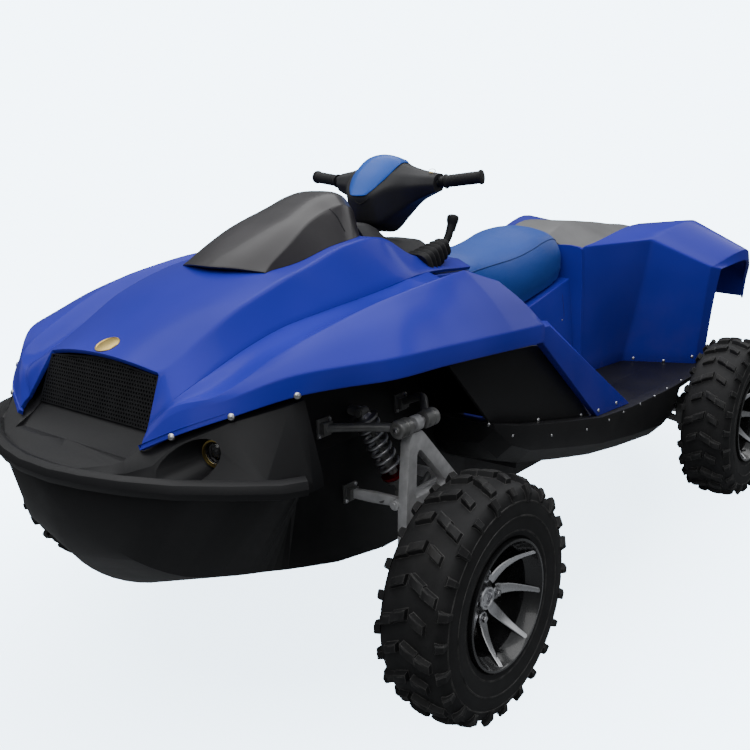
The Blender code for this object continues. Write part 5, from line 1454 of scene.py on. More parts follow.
# Casing of a tyre: radius and distance from the wheel's middle plane, from one bead round to the other
CASING = (
    (0.1685, 0.062), (0.1685, 0.080), (0.174, 0.086), (0.182, 0.0885), (0.196, 0.0925), (0.215, 0.0955),
    (0.235, 0.0965), (0.255, 0.0950), (0.272, 0.0910), (0.285, 0.0840), (0.293, 0.0720), (0.297, 0.0560),
    (0.2990, 0.0300), (0.2995, 0.0),
)
# Lugs of one half: first and last distance from the middle, width along the tread, phase of the pitch, lag of
# the outer end in pitches, share of the full height
LUGS = (
    (-0.003, 0.037, 0.0235, 0.00, 0.115, 1.00),
    (0.034, 0.070, 0.0220, 0.13, 0.095, 0.985),
    (0.017, 0.054, 0.0215, 0.53, 0.115, 0.98),
)
# Shoulder knobs: radius and distance out of the top, then of the foot, half-width, phase
KNOBS = ((0.3045, 0.0870, 0.262, 0.0996, 0.0125, 0.30), (0.3020, 0.0860, 0.270, 0.0990, 0.0105, 0.78))
# Ribs round the sidewalls: radius and distance from the middle plane
SIDE_RIBS = ((0.188, 0.0895), (0.226, 0.0960), (0.262, 0.0932))
# Where the tread begins in the list of the casing's points
TREAD_START = 9
# Tread's outline: its half-width, how far it drops there, the drop's power and the fall of a lug of no height
TREAD_HALF = 0.090
SHOULDER_DROP = 0.0165
SHOULDER_POWER = 2.6
FULL_FALL = 0.02
# How deep the lugs are rooted in the casing, and how far the knobs lag in pitches
LUG_ROOT = 0.004
KNOB_LAG = 0.1
# Sides of a tyre's casing
TYRE_SIDES = 96


def casing_radius(x):
    """The casing's radius under a place on the tread."""
    spots = [(a, r) for r, a in CASING[TREAD_START:]]
    x = abs(x)
    for (high, high_r), (low, low_r) in zip(spots, spots[1:]):
        if low <= x <= high:
            return low_r + (high_r - low_r) * (x - low) / (high - low)
    return CASING[TREAD_START][0]


def crown_radius(x, crown, share):
    """The lugs' outer radius at a distance from the middle: round towards the shoulders."""
    return crown - SHOULDER_DROP * (abs(x) / TREAD_HALF) ** SHOULDER_POWER - (1 - share) * FULL_FALL


def tread_axes(angle):
    """The directions out of the tread and along it at an angle round the wheel."""
    return Vector((0, math.sin(angle), -math.cos(angle))), Vector((0, math.cos(angle), math.sin(angle)))


def add_lug(bm, stations, half_width, chamfer=0.0028, flare=0.0035):
    """A block along stations of (x, angle, foot radius, top radius), widest at its foot."""
    rings = []
    last = len(stations) - 1
    for i, (x, angle, foot, top) in enumerate(stations):
        out, side = tread_axes(angle)
        middle = Vector((x, 0, 0))
        drop = chamfer if i in (0, last) else 0.0
        rings.append([middle + out * radius + side * offset for radius, offset in (
            (foot, -half_width - flare), (top - chamfer, -half_width), (top - drop, -half_width + chamfer),
            (top - drop, half_width - chamfer), (top - chamfer, half_width), (foot, half_width + flare))])
    add_loft(bm, rings)


def add_knob(bm, half, angle, knob):
    """A shoulder knob that wraps from the tread down the sidewall."""
    top_r, top_x, low_r, low_x, half_width, _ = knob
    out, side = tread_axes(angle)
    rows = []
    for radius, x, width in ((top_r - 0.010, top_x - 0.010, half_width + 0.002),
                             (top_r, top_x, half_width),
                             ((top_r + low_r) / 2, low_x, half_width * 0.86),
                             (low_r, low_x - 0.001, half_width * 0.55),
                             (low_r - 0.004, low_x - 0.010, half_width * 0.5)):
        rows.append(row_of(bm, [Vector((x * half, 0, 0)) + out * radius + side * s * width
                                for s in (-1, -0.75, 0.75, 1)]))
    for row in rows[1:4]:
        for corner in (row[0], row[3]):
            corner.co -= out * 0.0025 + Vector((half * 0.002, 0, 0))
    for low, high in zip(rows, rows[1:]):
        bridge(bm, low, high, False)
    for i in (0, 3):
        bm.faces.new([row[i] for row in rows])
    bm.faces.new(rows[0] + rows[-1][::-1])


def add_tread(bm, settings):
    """Lugs and shoulder knobs of both halves, which are half a pitch apart."""
    pitch = math.tau / settings.pitches
    for half, stagger in ((1, 0.0), (-1, 0.5)):
        for count in range(settings.pitches):
            for inner, outer, width, phase, lag, share in LUGS:
                stations = []
                for step in range(5):
                    t = step / 4
                    x = inner + (outer - inner) * t
                    angle = pitch * (count + stagger + phase + lag * t)
                    foot = casing_radius(x) - LUG_ROOT
                    stations.append((x * half, angle, foot, crown_radius(x, settings.crown, share)))
                add_lug(bm, stations, width / 2)
            for knob in KNOBS:
                add_knob(bm, half, pitch * (count + stagger + knob[-1] + KNOB_LAG), knob)


def tyre_mesh(settings):
    bm = bmesh.new()
    profile = list(CASING) + [(r, -a) for r, a in reversed(CASING[:-1])]
    rows = add_turned(bm, profile, HUB_CENTRE, OUTWARD, TYRE_SIDES)
    bridge(bm, rows[-1], rows[0])
    for radius, x in SIDE_RIBS:
        for half in (1, -1):
            centre = OUTWARD * half * x
            add_tube(bm, circle(centre, Vector((0, 0, 1)), Vector((0, 1, 0)), radius, TYRE_SIDES), 0.0016, 6,
                     closed=True)
    add_tread(bm, settings)
    return made_mesh("tyre", bm)


def on_wheels(label, node, left, finishes):
    """Puts a mesh on the two left wheels and its mirrored twin on the two right ones."""
    meshes = both_sides(left, node)
    for end, y in (("front", FRONT_Y), ("rear", REAR_Y)):
        for side, mesh in meshes:
            place = (WHEEL_X if side == "left" else -WHEEL_X, y, AXLE_Z)
            made = mesh_piece(f"{label}_{end}_{side}", mesh, f"{end}_wheel_{side}", finishes, 30, place)
            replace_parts(made, f"{end}_{node}_{side}")


class AMPHIBIAN_OT_tyres(bpy.types.Operator):
    """Build the four lugged tyres"""
    bl_idname = "amphibian.tyres"
    bl_label = "Tyres"

    def execute(self, context):
        on_wheels("lugged_tyre", "tyre", tyre_mesh(context.scene.amphibian_tyres), ["tyre"])
        return {"FINISHED"}


# Barrel of a rim: radius and distance out from the wheel's middle plane
BARREL = (
    (0.1672, 0.0945), (0.1675, 0.0920), (0.1675, 0.0830), (0.1660, 0.0690), (0.1500, 0.0500),
    (0.1480, 0.0450), (0.1480, -0.0450), (0.1500, -0.0500), (0.1660, -0.0690), (0.1675, -0.0830),
    (0.1672, -0.0945), (0.1600, -0.0950), (0.1570, -0.0900), (0.1450, -0.0680), (0.1400, -0.0620),
    (0.1400, 0.0560), (0.1440, 0.0620), (0.1560, 0.0800), (0.1585, 0.0900), (0.1610, 0.0950),
)
DISC = ((0.0, 0.0060), (0.060, 0.0060), (0.120, 0.0000), (0.1405, -0.0060))
DISC_BACK = ((0.1405, -0.0070), (0.120, -0.0080), (0.060, -0.0120), (0.052, -0.0600), (0.0, -0.0600))
HUB = ((0.0480, 0.0050), (0.0480, 0.0130), (0.0450, 0.0160), (0.0340, 0.0165), (0.0, 0.0165))
HUB_RING = ((0.0310, 0.0160), (0.0310, 0.0300), (0.0290, 0.0325), (0.0235, 0.0325), (0.0215, 0.0300),
            (0.0205, 0.0200), (0.0, 0.0200))
HUB_CAP = ((0.0110, 0.0200), (0.0110, 0.0260), (0.0, 0.0270))
NUT_SEAT = (
    (0.0175, 0.0150), (0.0175, 0.0225), (0.0165, 0.0240), (0.0135, 0.0240), (0.0125, 0.0180), (0.0, 0.0180),
)
NUT = ((0.0098, 0.0180), (0.0098, 0.0300), (0.0082, 0.0330), (0.0, 0.0330))
# Spoke stations: radius, half-width, distance out, thickness. A plain spoke has a blunt root
PLAIN_SPOKE = (
    (0.0440, 0.0105, 0.0200, 0.012), (0.0480, 0.0140, 0.0215, 0.014), (0.0600, 0.0160, 0.0230, 0.016),
    (0.0780, 0.0150, 0.0275, 0.017), (0.0950, 0.0130, 0.0340, 0.018), (0.1120, 0.0110, 0.0440, 0.019),
    (0.1280, 0.0092, 0.0560, 0.020), (0.1420, 0.0078, 0.0700, 0.020), (0.1520, 0.0070, 0.0820, 0.018),
    (0.1600, 0.0066, 0.0915, 0.010),
)
NUT_SPOKE = ((0.0520, 0.0165, 0.0205, 0.012), (0.0620, 0.0180, 0.0225, 0.014), (0.0720, 0.0150, 0.0255, 0.016),
             *PLAIN_SPOKE[4:])
# Nuts: their circle and how many. The first one and the first spoke share a direction
NUT_CIRCLE = 0.055
NUTS = 4
SPOKE_PHASE = math.radians(10)
# How far a spoke's edges lie below its face, and its middle above it
SPOKE_EDGE = 0.0022
SPOKE_CROWN = 0.0008
# How the sweep gathers towards the tip
SWEEP_POWER = 1.4
VALVE = ((0.050, 0.0, -0.141), (0.062, 0.0, -0.136), (0.076, 0.0, -0.132))


def add_spoke(bm, stations, turn, sweep):
    """A spoke with a machined face. Its tip lies at the turn, and its root a sweep away from there."""
    rows = []
    for radius, half_width, out, thick in stations:
        t = (radius - stations[0][0]) / (stations[-1][0] - stations[0][0])
        angle = turn + sweep * (t ** SWEEP_POWER - 1)
        up = Vector((0, math.sin(angle), math.cos(angle)))
        side = Vector((0, math.cos(angle), -math.sin(angle)))
        rows.append(row_of(bm, [up * radius + side * s * half_width + OUTWARD * x for s, x in (
            (-1.0, out - thick), (-1.0, out - SPOKE_EDGE), (-0.80, out), (0.0, out + SPOKE_CROWN), (0.80, out),
            (1.0, out - SPOKE_EDGE), (1.0, out - thick))]))
    count = len(rows[0])
    for low, high in zip(rows, rows[1:]):
        for i in range(count):
            j = (i + 1) % count
            face = bm.faces.new((low[i], low[j], high[j], high[i]))
            face.material_index = 1 if 0 < i < count - 2 else 0
    bm.faces.new(rows[0])
    bm.faces.new(rows[-1]).material_index = 1


def rim_mesh(settings):
    bm = bmesh.new()
    rows = add_turned(bm, BARREL, HUB_CENTRE, OUTWARD, 72)
    bridge(bm, rows[-1], rows[0])
    add_parts(bm, ((DISC, 48, 0), (DISC_BACK, 48, 0), (HUB, 40, 0), (HUB_RING, 40, 1), (HUB_CAP, 6, 1)),
              HUB_CENTRE, OUTWARD)
    step = math.tau / settings.spokes
    for i in range(settings.spokes):
        add_spoke(bm, PLAIN_SPOKE if i % 2 else NUT_SPOKE, step * i + SPOKE_PHASE, settings.sweep)
    for place in circle(HUB_CENTRE, Vector((0, 0, 1)), Vector((0, 1, 0)), NUT_CIRCLE, NUTS, SPOKE_PHASE):
        add_parts(bm, ((NUT_SEAT, 28, 1), (NUT, 6, 1)), place, OUTWARD)
    add_tube(bm, VALVE, 0.004, 10)
    return made_mesh("rim", bm)


class AMPHIBIAN_OT_rims(bpy.types.Operator):
    """Build the four rims with their machined spokes and nuts"""
    bl_idname = "amphibian.rims"
    bl_label = "Rims"

    def execute(self, context):
        on_wheels("spoked_rim", "rim", rim_mesh(context.scene.amphibian_wheels), ["rim_black", "bright"])
        return {"FINISHED"}


# Front suspension

# Hull's side at the shocks and at the arms, the plane of the uprights and the height of the trunnions
HULL_FACE_X = 0.4205
HULL_ARM_X = 0.4203
UPRIGHT_X = 0.600
TRUNNION_Z = 0.739
# Upper arm's two tubes
UPPER_ROUTES = (
    ((HULL_ARM_X + 0.010, -1.075, 0.735), (0.560, -0.998, TRUNNION_Z), (UPRIGHT_X, -0.980, TRUNNION_Z)),
    ((HULL_ARM_X + 0.010, -0.760, 0.725), (0.470, -0.770, 0.745), (0.530, -0.800, 0.765),
     (0.575, -0.850, 0.750), (UPRIGHT_X, -0.870, TRUNNION_Z)),
)
# Trunnion boss along the vehicle: radius and distance from its outer end
BOSS = (
    (0.0, 0.0), (0.0090, 0.0), (0.0105, 0.002), (0.0105, 0.004), (0.0190, 0.004), (0.0225, 0.006),
    (0.0240, 0.010), (0.0240, 0.024), (0.0225, 0.0255), (0.0225, 0.0290), (0.0240, 0.0305), (0.0240, 0.048),
    (0.0220, 0.053), (0.0150, 0.056), (0.0, 0.056),
)
# Bright pin between the bosses, with the collar that holds the upright
PIN = (
    (0.0, 0.0), (0.0120, 0.0), (0.0120, 0.006), (0.0100, 0.008), (0.0100, 0.016), (0.0150, 0.019),
    (0.0160, 0.023), (0.0160, 0.031), (0.0150, 0.035), (0.0100, 0.038), (0.0100, 0.046), (0.0120, 0.048),
    (0.0120, 0.054), (0.0, 0.054),
)
BOSS_ENDS = (-1.008, -0.842)
PIN_START = -0.952
PIN_MIDDLE = PIN_START + 0.027
END_NUT = ((0.0, -0.004), (0.0060, -0.004), (0.0070, -0.002), (0.0070, 0.002), (0.0, 0.002))
# Upright: the two faces of its plate, and y and z of the plate's outline and windows
PLATE_X = (0.580, 0.608)
UPRIGHT_OUTLINE = (
    (-0.950, 0.716), (-0.908, 0.716), (-0.892, 0.700), (-0.752, 0.548), (-0.757, 0.470), (-0.885, 0.330),
    (-0.885, 0.205), (-0.958, 0.205), (-0.985, 0.420), (-0.978, 0.540), (-0.962, 0.690),
)
UPRIGHT_WINDOWS = (
    ((-0.931, 0.655), (-0.922, 0.668), (-0.912, 0.664), (-0.806, 0.551), (-0.810, 0.542), (-0.938, 0.542)),
    ((-0.936, 0.512), (-0.812, 0.512), (-0.806, 0.490), (-0.900, 0.372), (-0.926, 0.380)),
)
# Lower arm's two blades: y and z at the hull, then at the upright's feet
LOWER_BLADES = ((-0.985, 0.531, -0.957, 0.5285), (-0.745, 0.531, -0.765, 0.5380))
BLADE_HALF = (0.0075, 0.0135)
# Blade's section, as shares of its half-width and half-depth
BLADE_SECTION = ((-1, -0.8), (-0.7, -1), (0.7, -1), (1, -0.8), (1, 0.8), (0.7, 1), (-0.7, 1), (-1, 0.8))
LOWER_PIN = ((0.5697, -0.988, 0.527), (0.5697, -0.734, 0.539))
SADDLE = ((0.520, -0.972, 0.530), (0.520, -0.900, 0.4955), (0.520, -0.830, 0.4955), (0.520, -0.757, 0.535))
# Bracket on the hull: half-width of its plate and of the block on it, and where its two bolts sit
CLAMP_HALF = 0.025
CLAMP_BLOCK = (0.017, 0.015)
CLAMP_BOLT_AT = 0.019
CLAMP_BOLT = ((0.0, 0.0), (0.0055, 0.0), (0.0055, 0.004), (0.0045, 0.005), (0.0, 0.005))
# Upright's neck on the trunnion pin, about the pin's middle
NECK = ((0.0, -0.0135), (0.0185, -0.0135), (0.0205, -0.011), (0.0205, 0.011), (0.0185, 0.0135), (0.0, 0.0135))
# Foot and head of the two lugs that hold the kingpin, their half-width and how far out they reach
KINGPIN_LUGS = ((0.205, 0.230), (0.405, 0.425))
LUG_HALF = 0.028
LUG_END_X = 0.660


def add_clamp(bm, y, z):
    """Bracket on the hull's side: a plate, a raised block and two bolt heads."""
    face = HULL_ARM_X + 0.005
    add_block(bm, (HULL_ARM_X - 0.001, y - CLAMP_HALF, z - CLAMP_HALF), (face, y + CLAMP_HALF, z + CLAMP_HALF))
    add_block(bm, (HULL_ARM_X, y - CLAMP_BLOCK[0], z - CLAMP_BLOCK[1]),
              (HULL_ARM_X + 0.020, y + CLAMP_BLOCK[0], z + CLAMP_BLOCK[1]))
    for offset in (-CLAMP_BOLT_AT, CLAMP_BOLT_AT):
        add_turned(bm, CLAMP_BOLT, (face, y + offset, z + offset), OUTWARD, 6, 2)


def upper_arm():
    bm = bmesh.new()
    for route in UPPER_ROUTES:
        add_tube(bm, line_through(route, 8), 0.0115, 20)
        add_clamp(bm, route[0][1], route[0][2])
    for end, way in ((BOSS_ENDS[0], 1), (BOSS_ENDS[1], -1)):
        add_parts(bm, ((BOSS, 36, 1), (END_NUT, 6, 2)), (UPRIGHT_X, end, TRUNNION_Z), (0, way, 0))
    add_turned(bm, PIN, (UPRIGHT_X, PIN_START, TRUNNION_Z), (0, 1, 0), 32, 2)
    return bm


def lower_arm():
    bm = bmesh.new()
    half_y, half_z = BLADE_HALF
    start = HULL_ARM_X + 0.010
    for hull_y, hull_z, foot_y, foot_z in LOWER_BLADES:
        rings = []
        for t in (0.0, 0.2, 0.5, 0.8, 1.0):
            middle = Vector((start, hull_y, hull_z)).lerp(Vector((LOWER_PIN[0][0], foot_y, foot_z)), t)
            depth = half_z * (0.85 + 0.25 * math.sin(math.pi * t))
            rings.append([middle + Vector((0, a * half_y, b * depth)) for a, b in BLADE_SECTION])
        add_loft(bm, rings, 1)
        add_clamp(bm, hull_y, hull_z)
    along = Vector(LOWER_PIN[1]) - Vector(LOWER_PIN[0])
    span = along.length
    pin = ((0.0, 0.0), (0.0080, 0.0), (0.0090, 0.003), (0.0135, 0.004), (0.0145, 0.007), (0.0145, 0.030),
           (0.0120, 0.034), (0.0120, span - 0.034), (0.0145, span - 0.030), (0.0145, span - 0.007),
           (0.0090, span - 0.004), (0.0, span))
    add_turned(bm, pin, LOWER_PIN[0], along, 28, 1)
    add_tube(bm, line_through(SADDLE, 6), 0.0105, 16)
    return bm


def plate_of(outline, low_x, high_x):
    """A flat plate between two distances from the keel plane."""
    bm = bmesh.new()
    add_loft(bm, [[(x, y, z) for y, z in outline] for x in (low_x, high_x)])
    return made_mesh("plate", bm)


def upright():
    """Upright's plate with its windows, the neck on the trunnion pin and the two lugs of the kingpin."""
    plate = linked("plate", plate_of(UPRIGHT_OUTLINE, *PLATE_X))
    for window in UPRIGHT_WINDOWS:
        carved(plate, plate_of(window, PLATE_X[0] - 0.02, PLATE_X[1] + 0.02))
    softened(plate, 0.0035, 30)
    bm = bmesh.new()
    bm.from_mesh(kept(plate))
    bpy.data.objects.remove(plate, do_unlink=True)
    add_turned(bm, NECK, (UPRIGHT_X, PIN_MIDDLE, TRUNNION_Z), (0, 1, 0), 36)
    for low, high in KINGPIN_LUGS:
        add_block(bm, (PLATE_X[0] + 0.010, FRONT_Y - LUG_HALF, low), (LUG_END_X, FRONT_Y + LUG_HALF, high))
    return bm


class AMPHIBIAN_OT_arms(bpy.types.Operator):
    """Build the front arms with their bosses and pins, and the uprights"""
    bl_idname = "amphibian.arms"
    bl_label = "Front arms"

    def execute(self, context):
        for label, bm, finishes, node in (
                ("forked_upper_arm", upper_arm(), ["arm", "boss", "bright"], "front_upper_arm"),
                ("bladed_lower_arm", lower_arm(), ["arm", "upright", "bright"], "front_lower_arm"),
                ("windowed_upright", upright(), ["upright"], "front_upright")):
            left = piece(f"{label}_left", bm, "chassis", finishes, 40)
            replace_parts(left, f"{node}_left")
            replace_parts(right_twin(left, 40), f"{node}_right")
        return {"FINISHED"}


SHOCK_TOP = Vector((0.460, -0.968, 0.755))
SHOCK_FOOT = Vector((0.520, -0.880, 0.5212))
# Spring: its two ends as shares of the shock's length, its turns and their steps, its radius, its wire and the
# closing up of its end turns
SPRING_SPAN = (0.27, 0.90)
COILS = 6.5
COIL_STEPS = 26
COIL_RADIUS = 0.0285
WIRE_RADIUS = 0.0048
COIL_CLOSING = 0.012
# Eyes: how far out and half how wide they are, and the same for the bushes in them
EYE_RADIUS = 0.0138
BUSH = (0.007, 0.010, 0.004)
TOP_STUD = ((0.0135, 0.0), (0.0135, 0.030), (0.010, 0.034), (0.0, 0.034))


def shock_mesh():
    along = SHOCK_TOP - SHOCK_FOOT
    length = along.length
    along.normalize()
    first, second = across(along)
    start, end = (length * share for share in SPRING_SPAN)
    spring = []
    total = int(COILS * COIL_STEPS)
    for i in range(total + 1):
        t = i / total
        angle = math.tau * COILS * t
        eased = t + COIL_CLOSING * math.sin(math.tau * t)
        spring.append(SHOCK_FOOT + along * (start + (end - start) * eased)
                      + (first * math.cos(angle) + second * math.sin(angle)) * COIL_RADIUS)
    bm = bmesh.new()
    add_tube(bm, spring, WIRE_RADIUS, 10)
    damper = ((0.0, -0.002), (0.013, -0.002), (0.0165, 0.004), (0.0165, length * 0.20), (0.014, length * 0.22),
              (0.014, length * 0.50), (0.009, length * 0.51), (0.0065, length * 0.52), (0.0065, length * 0.92),
              (0.0, length * 0.92))
    red_collar = ((0.016, start - 0.016), (0.0335, start - 0.014), (0.0345, start - 0.010),
                  (0.0345, start - 0.006), (0.016, start - 0.004))
    lock_nut = ((0.016, start - 0.030), (0.0265, start - 0.029), (0.0275, start - 0.025),
                (0.0265, start - 0.019), (0.016, start - 0.017))
    top_plate = ((0.006, end + 0.002), (0.0345, end + 0.003), (0.0345, end + 0.009), (0.020, end + 0.012),
                 (0.014, end + 0.020), (0.0, end + 0.021))
    add_parts(bm, ((damper, 24, 1), (red_collar, 32, 2), (lock_nut, 20, 1), (top_plate, 32, 0)),
              SHOCK_FOOT, along)
    bore, bush, step = BUSH
    for point, half in ((SHOCK_FOOT, 0.0175), (SHOCK_TOP, 0.014)):
        eye = ((bore, -half - step), (bush, -half - step), (bush, -half), (EYE_RADIUS, -half),
               (EYE_RADIUS, half), (bush, half), (bush, half + step), (bore, half + step))
        add_turned(bm, eye, point, (0, 1, 0), 24, 1, capped=True)
    add_turned(bm, TOP_STUD, (HULL_FACE_X, SHOCK_TOP.y, SHOCK_TOP.z), OUTWARD, 20, 1)
    return made_mesh("shock", bm)


class AMPHIBIAN_OT_shocks(bpy.types.Operator):
    """Build the coil-over shocks"""
    bl_idname = "amphibian.shocks"
    bl_label = "Front shocks"

    def execute(self, context):
        for side, mesh in both_sides(shock_mesh(), "shock"):
            finishes = ["spring", "boss", "red_metal"]
            made = mesh_piece(f"coil_shock_{side}", mesh, "chassis", finishes, 40)
            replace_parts(made, f"front_shock_{side}")
        return {"FINISHED"}


# Nose: perforated grille and round lamps

MOUTH_FOOT = Vector((0, -1.452, 0.792))
MOUTH_HEAD = Vector((0, -1.402, 0.925))
# Grille's outline on the left: x and distance up the mouth
GRILLE_OUTLINE = ((0.236, -0.002), (0.226, 0.126), (0.0, 0.146))
GRILLE_MIDDLE = Vector((0, 0.060))
# Holes: spacing along a row, spacing of the rows as a share of it, first row, radius, and distance to the frame
HOLE_PITCH = 0.0105
ROW_SHARE = 0.866
FIRST_ROW = 0.004
HOLE_RADIUS = 0.0036
HOLE_MARGIN = 0.0050
HOLED_SIZE = (0.23, 0.15)
# Face and back of the holed plate, in front of the mouth's floor
PLATE_DEPTHS = (0.0095, 0.0065)
# Frame round it: inset and depth of its section's corners, and how fast it narrows inwards
FRAME = ((0.0, 0.0005), (0.0, 0.0098), (0.0060, 0.0098), (0.0060, 0.0060))
FRAME_NARROWING = 1.1
# Depth of the near-black sheet behind the holes, which is painted shade in the mouth
BACK_DEPTH = 0.0006


def inside_grille(x, t, margin):
    """True where a hole's centre lies inside the grille's outline with a margin."""
    x = abs(x)
    (x0, t0), (x1, t1), (_, t2) = GRILLE_OUTLINE
    side = x0 + (x1 - x0) * (t - t0) / (t1 - t0)
    head = t2 + (t1 - t2) * x / x1
    return t > t0 + margin and x < side - margin and t < head - margin


def grille_piece():
    """Panel with hexagonal holes: each cell of the pattern is a ring of six quads between hexagon and hole."""
    slope = (MOUTH_HEAD - MOUTH_FOOT).normalized()
    out = Vector((0, -slope.z, slope.y))
    face, back = PLATE_DEPTHS
    cell = HOLE_PITCH / math.sqrt(3)

    def placed(x, t, depth):
        return MOUTH_FOOT + Vector((x, 0, 0)) + slope * t + out * depth

    bm = bmesh.new()
    columns = int(HOLED_SIZE[0] / HOLE_PITCH) + 1
    for row in range(int(HOLED_SIZE[1] / (HOLE_PITCH * ROW_SHARE)) + 1):
        t = FIRST_ROW + row * HOLE_PITCH * ROW_SHARE
        for column in range(-columns, columns + 1):
            x = (column + 0.5 * (row % 2)) * HOLE_PITCH
            if inside_grille(x, t, HOLE_MARGIN):
                corners = ((cell, face), (HOLE_RADIUS, face), (HOLE_RADIUS, back), (cell, back))
                rows = [row_of(bm, circle(placed(x, t, depth), OUTWARD, slope, radius, 6, math.tau / 12))
                        for radius, depth in corners]
                for low, high in zip(rows, rows[1:]):
                    bridge(bm, low, high)
    bmesh.ops.remove_doubles(bm, verts=bm.verts, dist=0.0001)
    outline = [*GRILLE_OUTLINE, *((-x, t) for x, t in reversed(GRILLE_OUTLINE) if x)]
    rows = []
    for inset, depth in FRAME:
        points = []
        for corner in outline:
            flat = Vector(corner) - GRILLE_MIDDLE
            flat *= 1 - inset / flat.length * FRAME_NARROWING
            points.append(placed(*(flat + GRILLE_MIDDLE), depth))
        rows.append(row_of(bm, points))
    for low, high in zip(rows, rows[1:]):
        bridge(bm, low, high)
    # A near-black sheet behind the holes: painted shade where the mouth lies in shadow
    bm.faces.new(row_of(bm, [placed(x, t, BACK_DEPTH) for x, t in outline])).material_index = 1
    return piece("perforated_grille", bm, "chassis", ["black", "bore"], 30)


class AMPHIBIAN_OT_grille(bpy.types.Operator):
    """Build the perforated grille in the mouth"""
    bl_idname = "amphibian.grille"
    bl_label = "Grille"

    def execute(self, context):
        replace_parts(grille_piece(), "grille")
        return {"FINISHED"}


# Lamp: middle of its face, its depth and its turn to the side
LAMP_FACE = Vector((0.412, -1.417, 0.7635))
LAMP_DEPTH = 0.040
LAMP_TURN = math.radians(14)
# Lamp parts: radius and distance out of its seat
LAMP_RING = (
    (0.0325, 0.0), (0.0325, 0.038), (0.0335, 0.044), (0.0325, 0.0480), (0.0295, 0.0485), (0.0280, 0.0440),
)
LAMP_BOWL = (
    (0.0280, 0.044), (0.0250, 0.032), (0.0215, 0.031), (0.0200, 0.026), (0.0160, 0.025), (0.0140, 0.018),
    (0.0, 0.018),
)
LAMP_BULB = ((0.0110, 0.018), (0.0120, 0.030), (0.0095, 0.036), (0.0040, 0.039), (0.0, 0.0395))
LAMP_GLASS = ((0.0279, 0.0435), (0.0240, 0.0475), (0.0160, 0.0510), (0.0070, 0.0525), (0.0, 0.0530))


def lamp_mesh():
    """Lamp: gold ring, stepped dark bowl, hooded bulb and a domed glass."""
    bm = bmesh.new()
    forward = Vector((math.sin(LAMP_TURN), -math.cos(LAMP_TURN), 0))
    add_parts(bm, ((LAMP_RING, 48, 0), (LAMP_BOWL, 48, 1), (LAMP_BULB, 24, 2), (LAMP_GLASS, 48, 3)),
              LAMP_FACE - forward * LAMP_DEPTH, forward)
    return made_mesh("lamp", bm)


class AMPHIBIAN_OT_lamps(bpy.types.Operator):
    """Build the round lamps in the nose and finish the tail lamps"""
    bl_idname = "amphibian.lamps"
    bl_label = "Lamps"

    def execute(self, context):
        for side, mesh in both_sides(lamp_mesh(), "lamp"):
            finishes = ["gold", "cowl", "pod", "glass"]
            made = mesh_piece(f"round_lamp_{side}", mesh, "chassis", finishes, 40)
            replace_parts(made, f"headlamp_{side}")
        dress(sides("tail_lamp"), "red_lens", 0.003)
        return {"FINISHED"}


# Stage

# Lights: place, size and power
LIGHTS = (
    ("key", (1.6, -4.2, 4.4), 4.0, 85),
    ("top", (-0.6, 0.2, 5.5), 7.0, 360),
    ("fill", (-4.5, -2.0, 3.0), 3.0, 18),
    ("side", (5.0, -1.5, 1.8), 3.0, 12),
    ("back", (1.5, 5.0, 3.5), 3.0, 50),
)
# Backdrop's colour and strength to the camera
BACKDROP = (0.70, 0.86, 1.0, 1)
BACKDROP_STRENGTH = 8.5
# Strength of the sky's light straight down, from the horizon and from below, its tint, and the horizon's place
SKY_LIGHT = (0.55, 0.10, 0.14)
SKY_TINT = (0.93, 0.97, 1.0)
HORIZON = 0.52
# Floor: half its width and how far it lies below the tyres
FLOOR_HALF = 60.0
FLOOR_DROP = 0.001
# Place that the lights point at
LIGHT_TARGET = Vector((0, 0, 0.5))


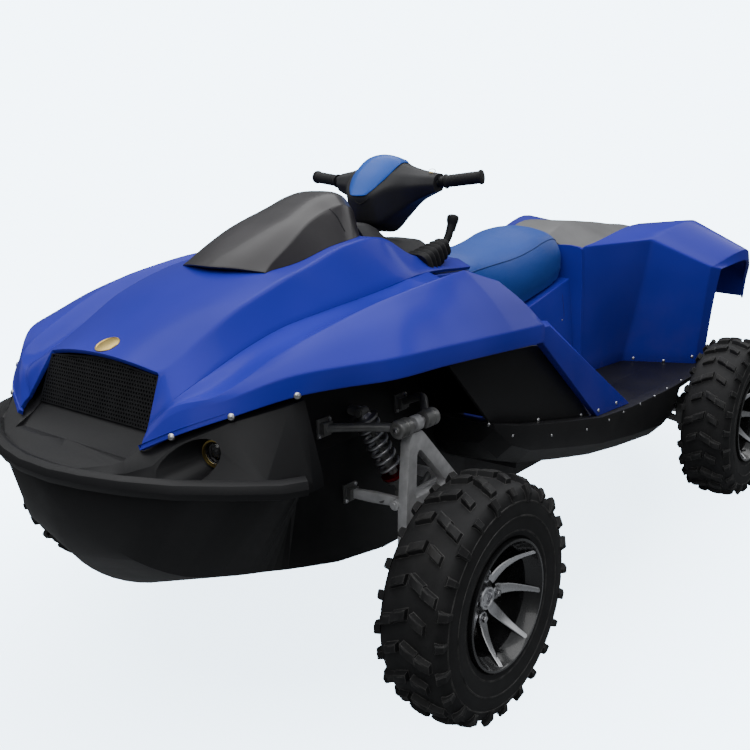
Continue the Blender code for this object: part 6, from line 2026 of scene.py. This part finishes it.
class AMPHIBIAN_OT_stage(bpy.types.Operator):
    """Set the floor, the soft lights and the camera"""
    bl_idname = "amphibian.stage"
    bl_label = "Stage"

    def light_world(self, tree, settings):
        """A pale backdrop for the camera, and a sky that is brightest overhead for the light."""
        world = Nodes(tree)
        overhead, horizon, below = (strength * settings.light for strength in SKY_LIGHT)
        stops = [(at, (*(strength * tint for tint in SKY_TINT), 1))
                 for at, strength in ((0.0, below), (HORIZON, horizon), (1.0, overhead))]
        place = world.node("ShaderNodeTexCoord").outputs["Generated"]
        height = world.node("ShaderNodeSeparateXYZ", None, {0: place}).outputs["Z"]
        share = world.node("ShaderNodeMapRange", None, {"Value": height, "From Min": -1.0}).outputs[0]
        ramp = world.node("ShaderNodeValToRGB", {"stops": stops}, {0: share})
        sky = tree.nodes["Background"]
        world.feed(sky.inputs["Color"], ramp.outputs[0])
        backdrop = world.node("ShaderNodeBackground", None, {"Color": BACKDROP, "Strength": BACKDROP_STRENGTH})
        to_camera = world.node("ShaderNodeLightPath").outputs["Is Camera Ray"]
        blend = world.node("ShaderNodeMixShader", None, {
            0: to_camera, 1: sky.outputs[0], 2: backdrop.outputs[0]})
        world.feed(tree.nodes["World Output"].inputs["Surface"], blend.outputs[0])

    def execute(self, context):
        scene = context.scene
        settings = scene.amphibian_stage
        lines = (-FLOOR_HALF, 0, FLOOR_HALF)
        mesh = panel_mesh("studio_floor", [[(x, y, 0) for x in lines] for y in lines], (0, 0, 1))
        mesh.materials.append(finish("floor"))
        floor = linked("studio_floor", mesh)
        floor.location.z = -FLOOR_DROP
        scene.world = bpy.data.worlds.new("studio")
        scene.world.use_nodes = True
        self.light_world(scene.world.node_tree, settings)
        for name, place, size, power in LIGHTS:
            lamp = bpy.data.lights.new(name, "AREA")
            lamp.size = size
            lamp.energy = power * settings.light
            light = linked(name, lamp)
            light.location = place
            light.rotation_mode = "QUATERNION"
            light.rotation_quaternion = (LIGHT_TARGET - Vector(place)).to_track_quat("-Z", "Y")
        lens = bpy.data.cameras.new("camera")
        lens.lens = LENS
        lens.clip_end = 200.0
        camera = linked("camera", lens)
        forward, right, top = camera_axes()
        camera.matrix_world = Matrix.Translation(EYE) @ Matrix((right, top, -forward)).transposed().to_4x4()
        scene.camera = camera
        return {"FINISHED"}


class AMPHIBIAN_PT_sidebar(bpy.types.Panel):
    """The settings, and a button for each operator"""
    bl_label = "Amphibian"
    bl_idname = "AMPHIBIAN_PT_sidebar"
    bl_space_type = "VIEW_3D"
    bl_region_type = "UI"
    bl_category = "Amphibian"

    def draw(self, context):
        scene = context.scene
        for title, settings in (("Paint", scene.amphibian_paint), ("Tyres", scene.amphibian_tyres),
                                ("Wheels", scene.amphibian_wheels), ("Seat", scene.amphibian_seat),
                                ("Stage", scene.amphibian_stage)):
            group = self.layout.box()
            group.label(text=title)
            for name in settings.bl_rna.properties.keys():
                if name not in ("rna_type", "name"):
                    group.prop(settings, name)
        for operator in OPERATORS:
            self.layout.operator(operator.bl_idname)


OPERATORS = (
    AMPHIBIAN_OT_stage, AMPHIBIAN_OT_bonnet, AMPHIBIAN_OT_front_fenders, AMPHIBIAN_OT_rear_fenders,
    AMPHIBIAN_OT_seat_base, AMPHIBIAN_OT_lid, AMPHIBIAN_OT_cap, AMPHIBIAN_OT_bars, AMPHIBIAN_OT_gear_lever,
    AMPHIBIAN_OT_seat, AMPHIBIAN_OT_mouldings, AMPHIBIAN_OT_fasteners, AMPHIBIAN_OT_running_gear,
    AMPHIBIAN_OT_tyres, AMPHIBIAN_OT_rims, AMPHIBIAN_OT_arms, AMPHIBIAN_OT_shocks, AMPHIBIAN_OT_grille,
    AMPHIBIAN_OT_lamps,
)
SETTINGS = (
    ("amphibian_paint", PaintSettings), ("amphibian_tyres", TyreSettings), ("amphibian_wheels", WheelSettings),
    ("amphibian_seat", SeatSettings), ("amphibian_stage", StageSettings),
)


def register():
    for name, group in SETTINGS:
        bpy.utils.register_class(group)
        setattr(bpy.types.Scene, name, PointerProperty(type=group))
    for operator in OPERATORS:
        bpy.utils.register_class(operator)
    bpy.utils.register_class(AMPHIBIAN_PT_sidebar)


def unregister():
    bpy.utils.unregister_class(AMPHIBIAN_PT_sidebar)
    for operator in reversed(OPERATORS):
        bpy.utils.unregister_class(operator)
    for name, group in reversed(SETTINGS):
        delattr(bpy.types.Scene, name)
        bpy.utils.unregister_class(group)


def main():
    register()
    for operator in OPERATORS:
        getattr(bpy.ops.amphibian, operator.bl_idname.split(".")[1])()


if __name__ == "__main__":
    main()
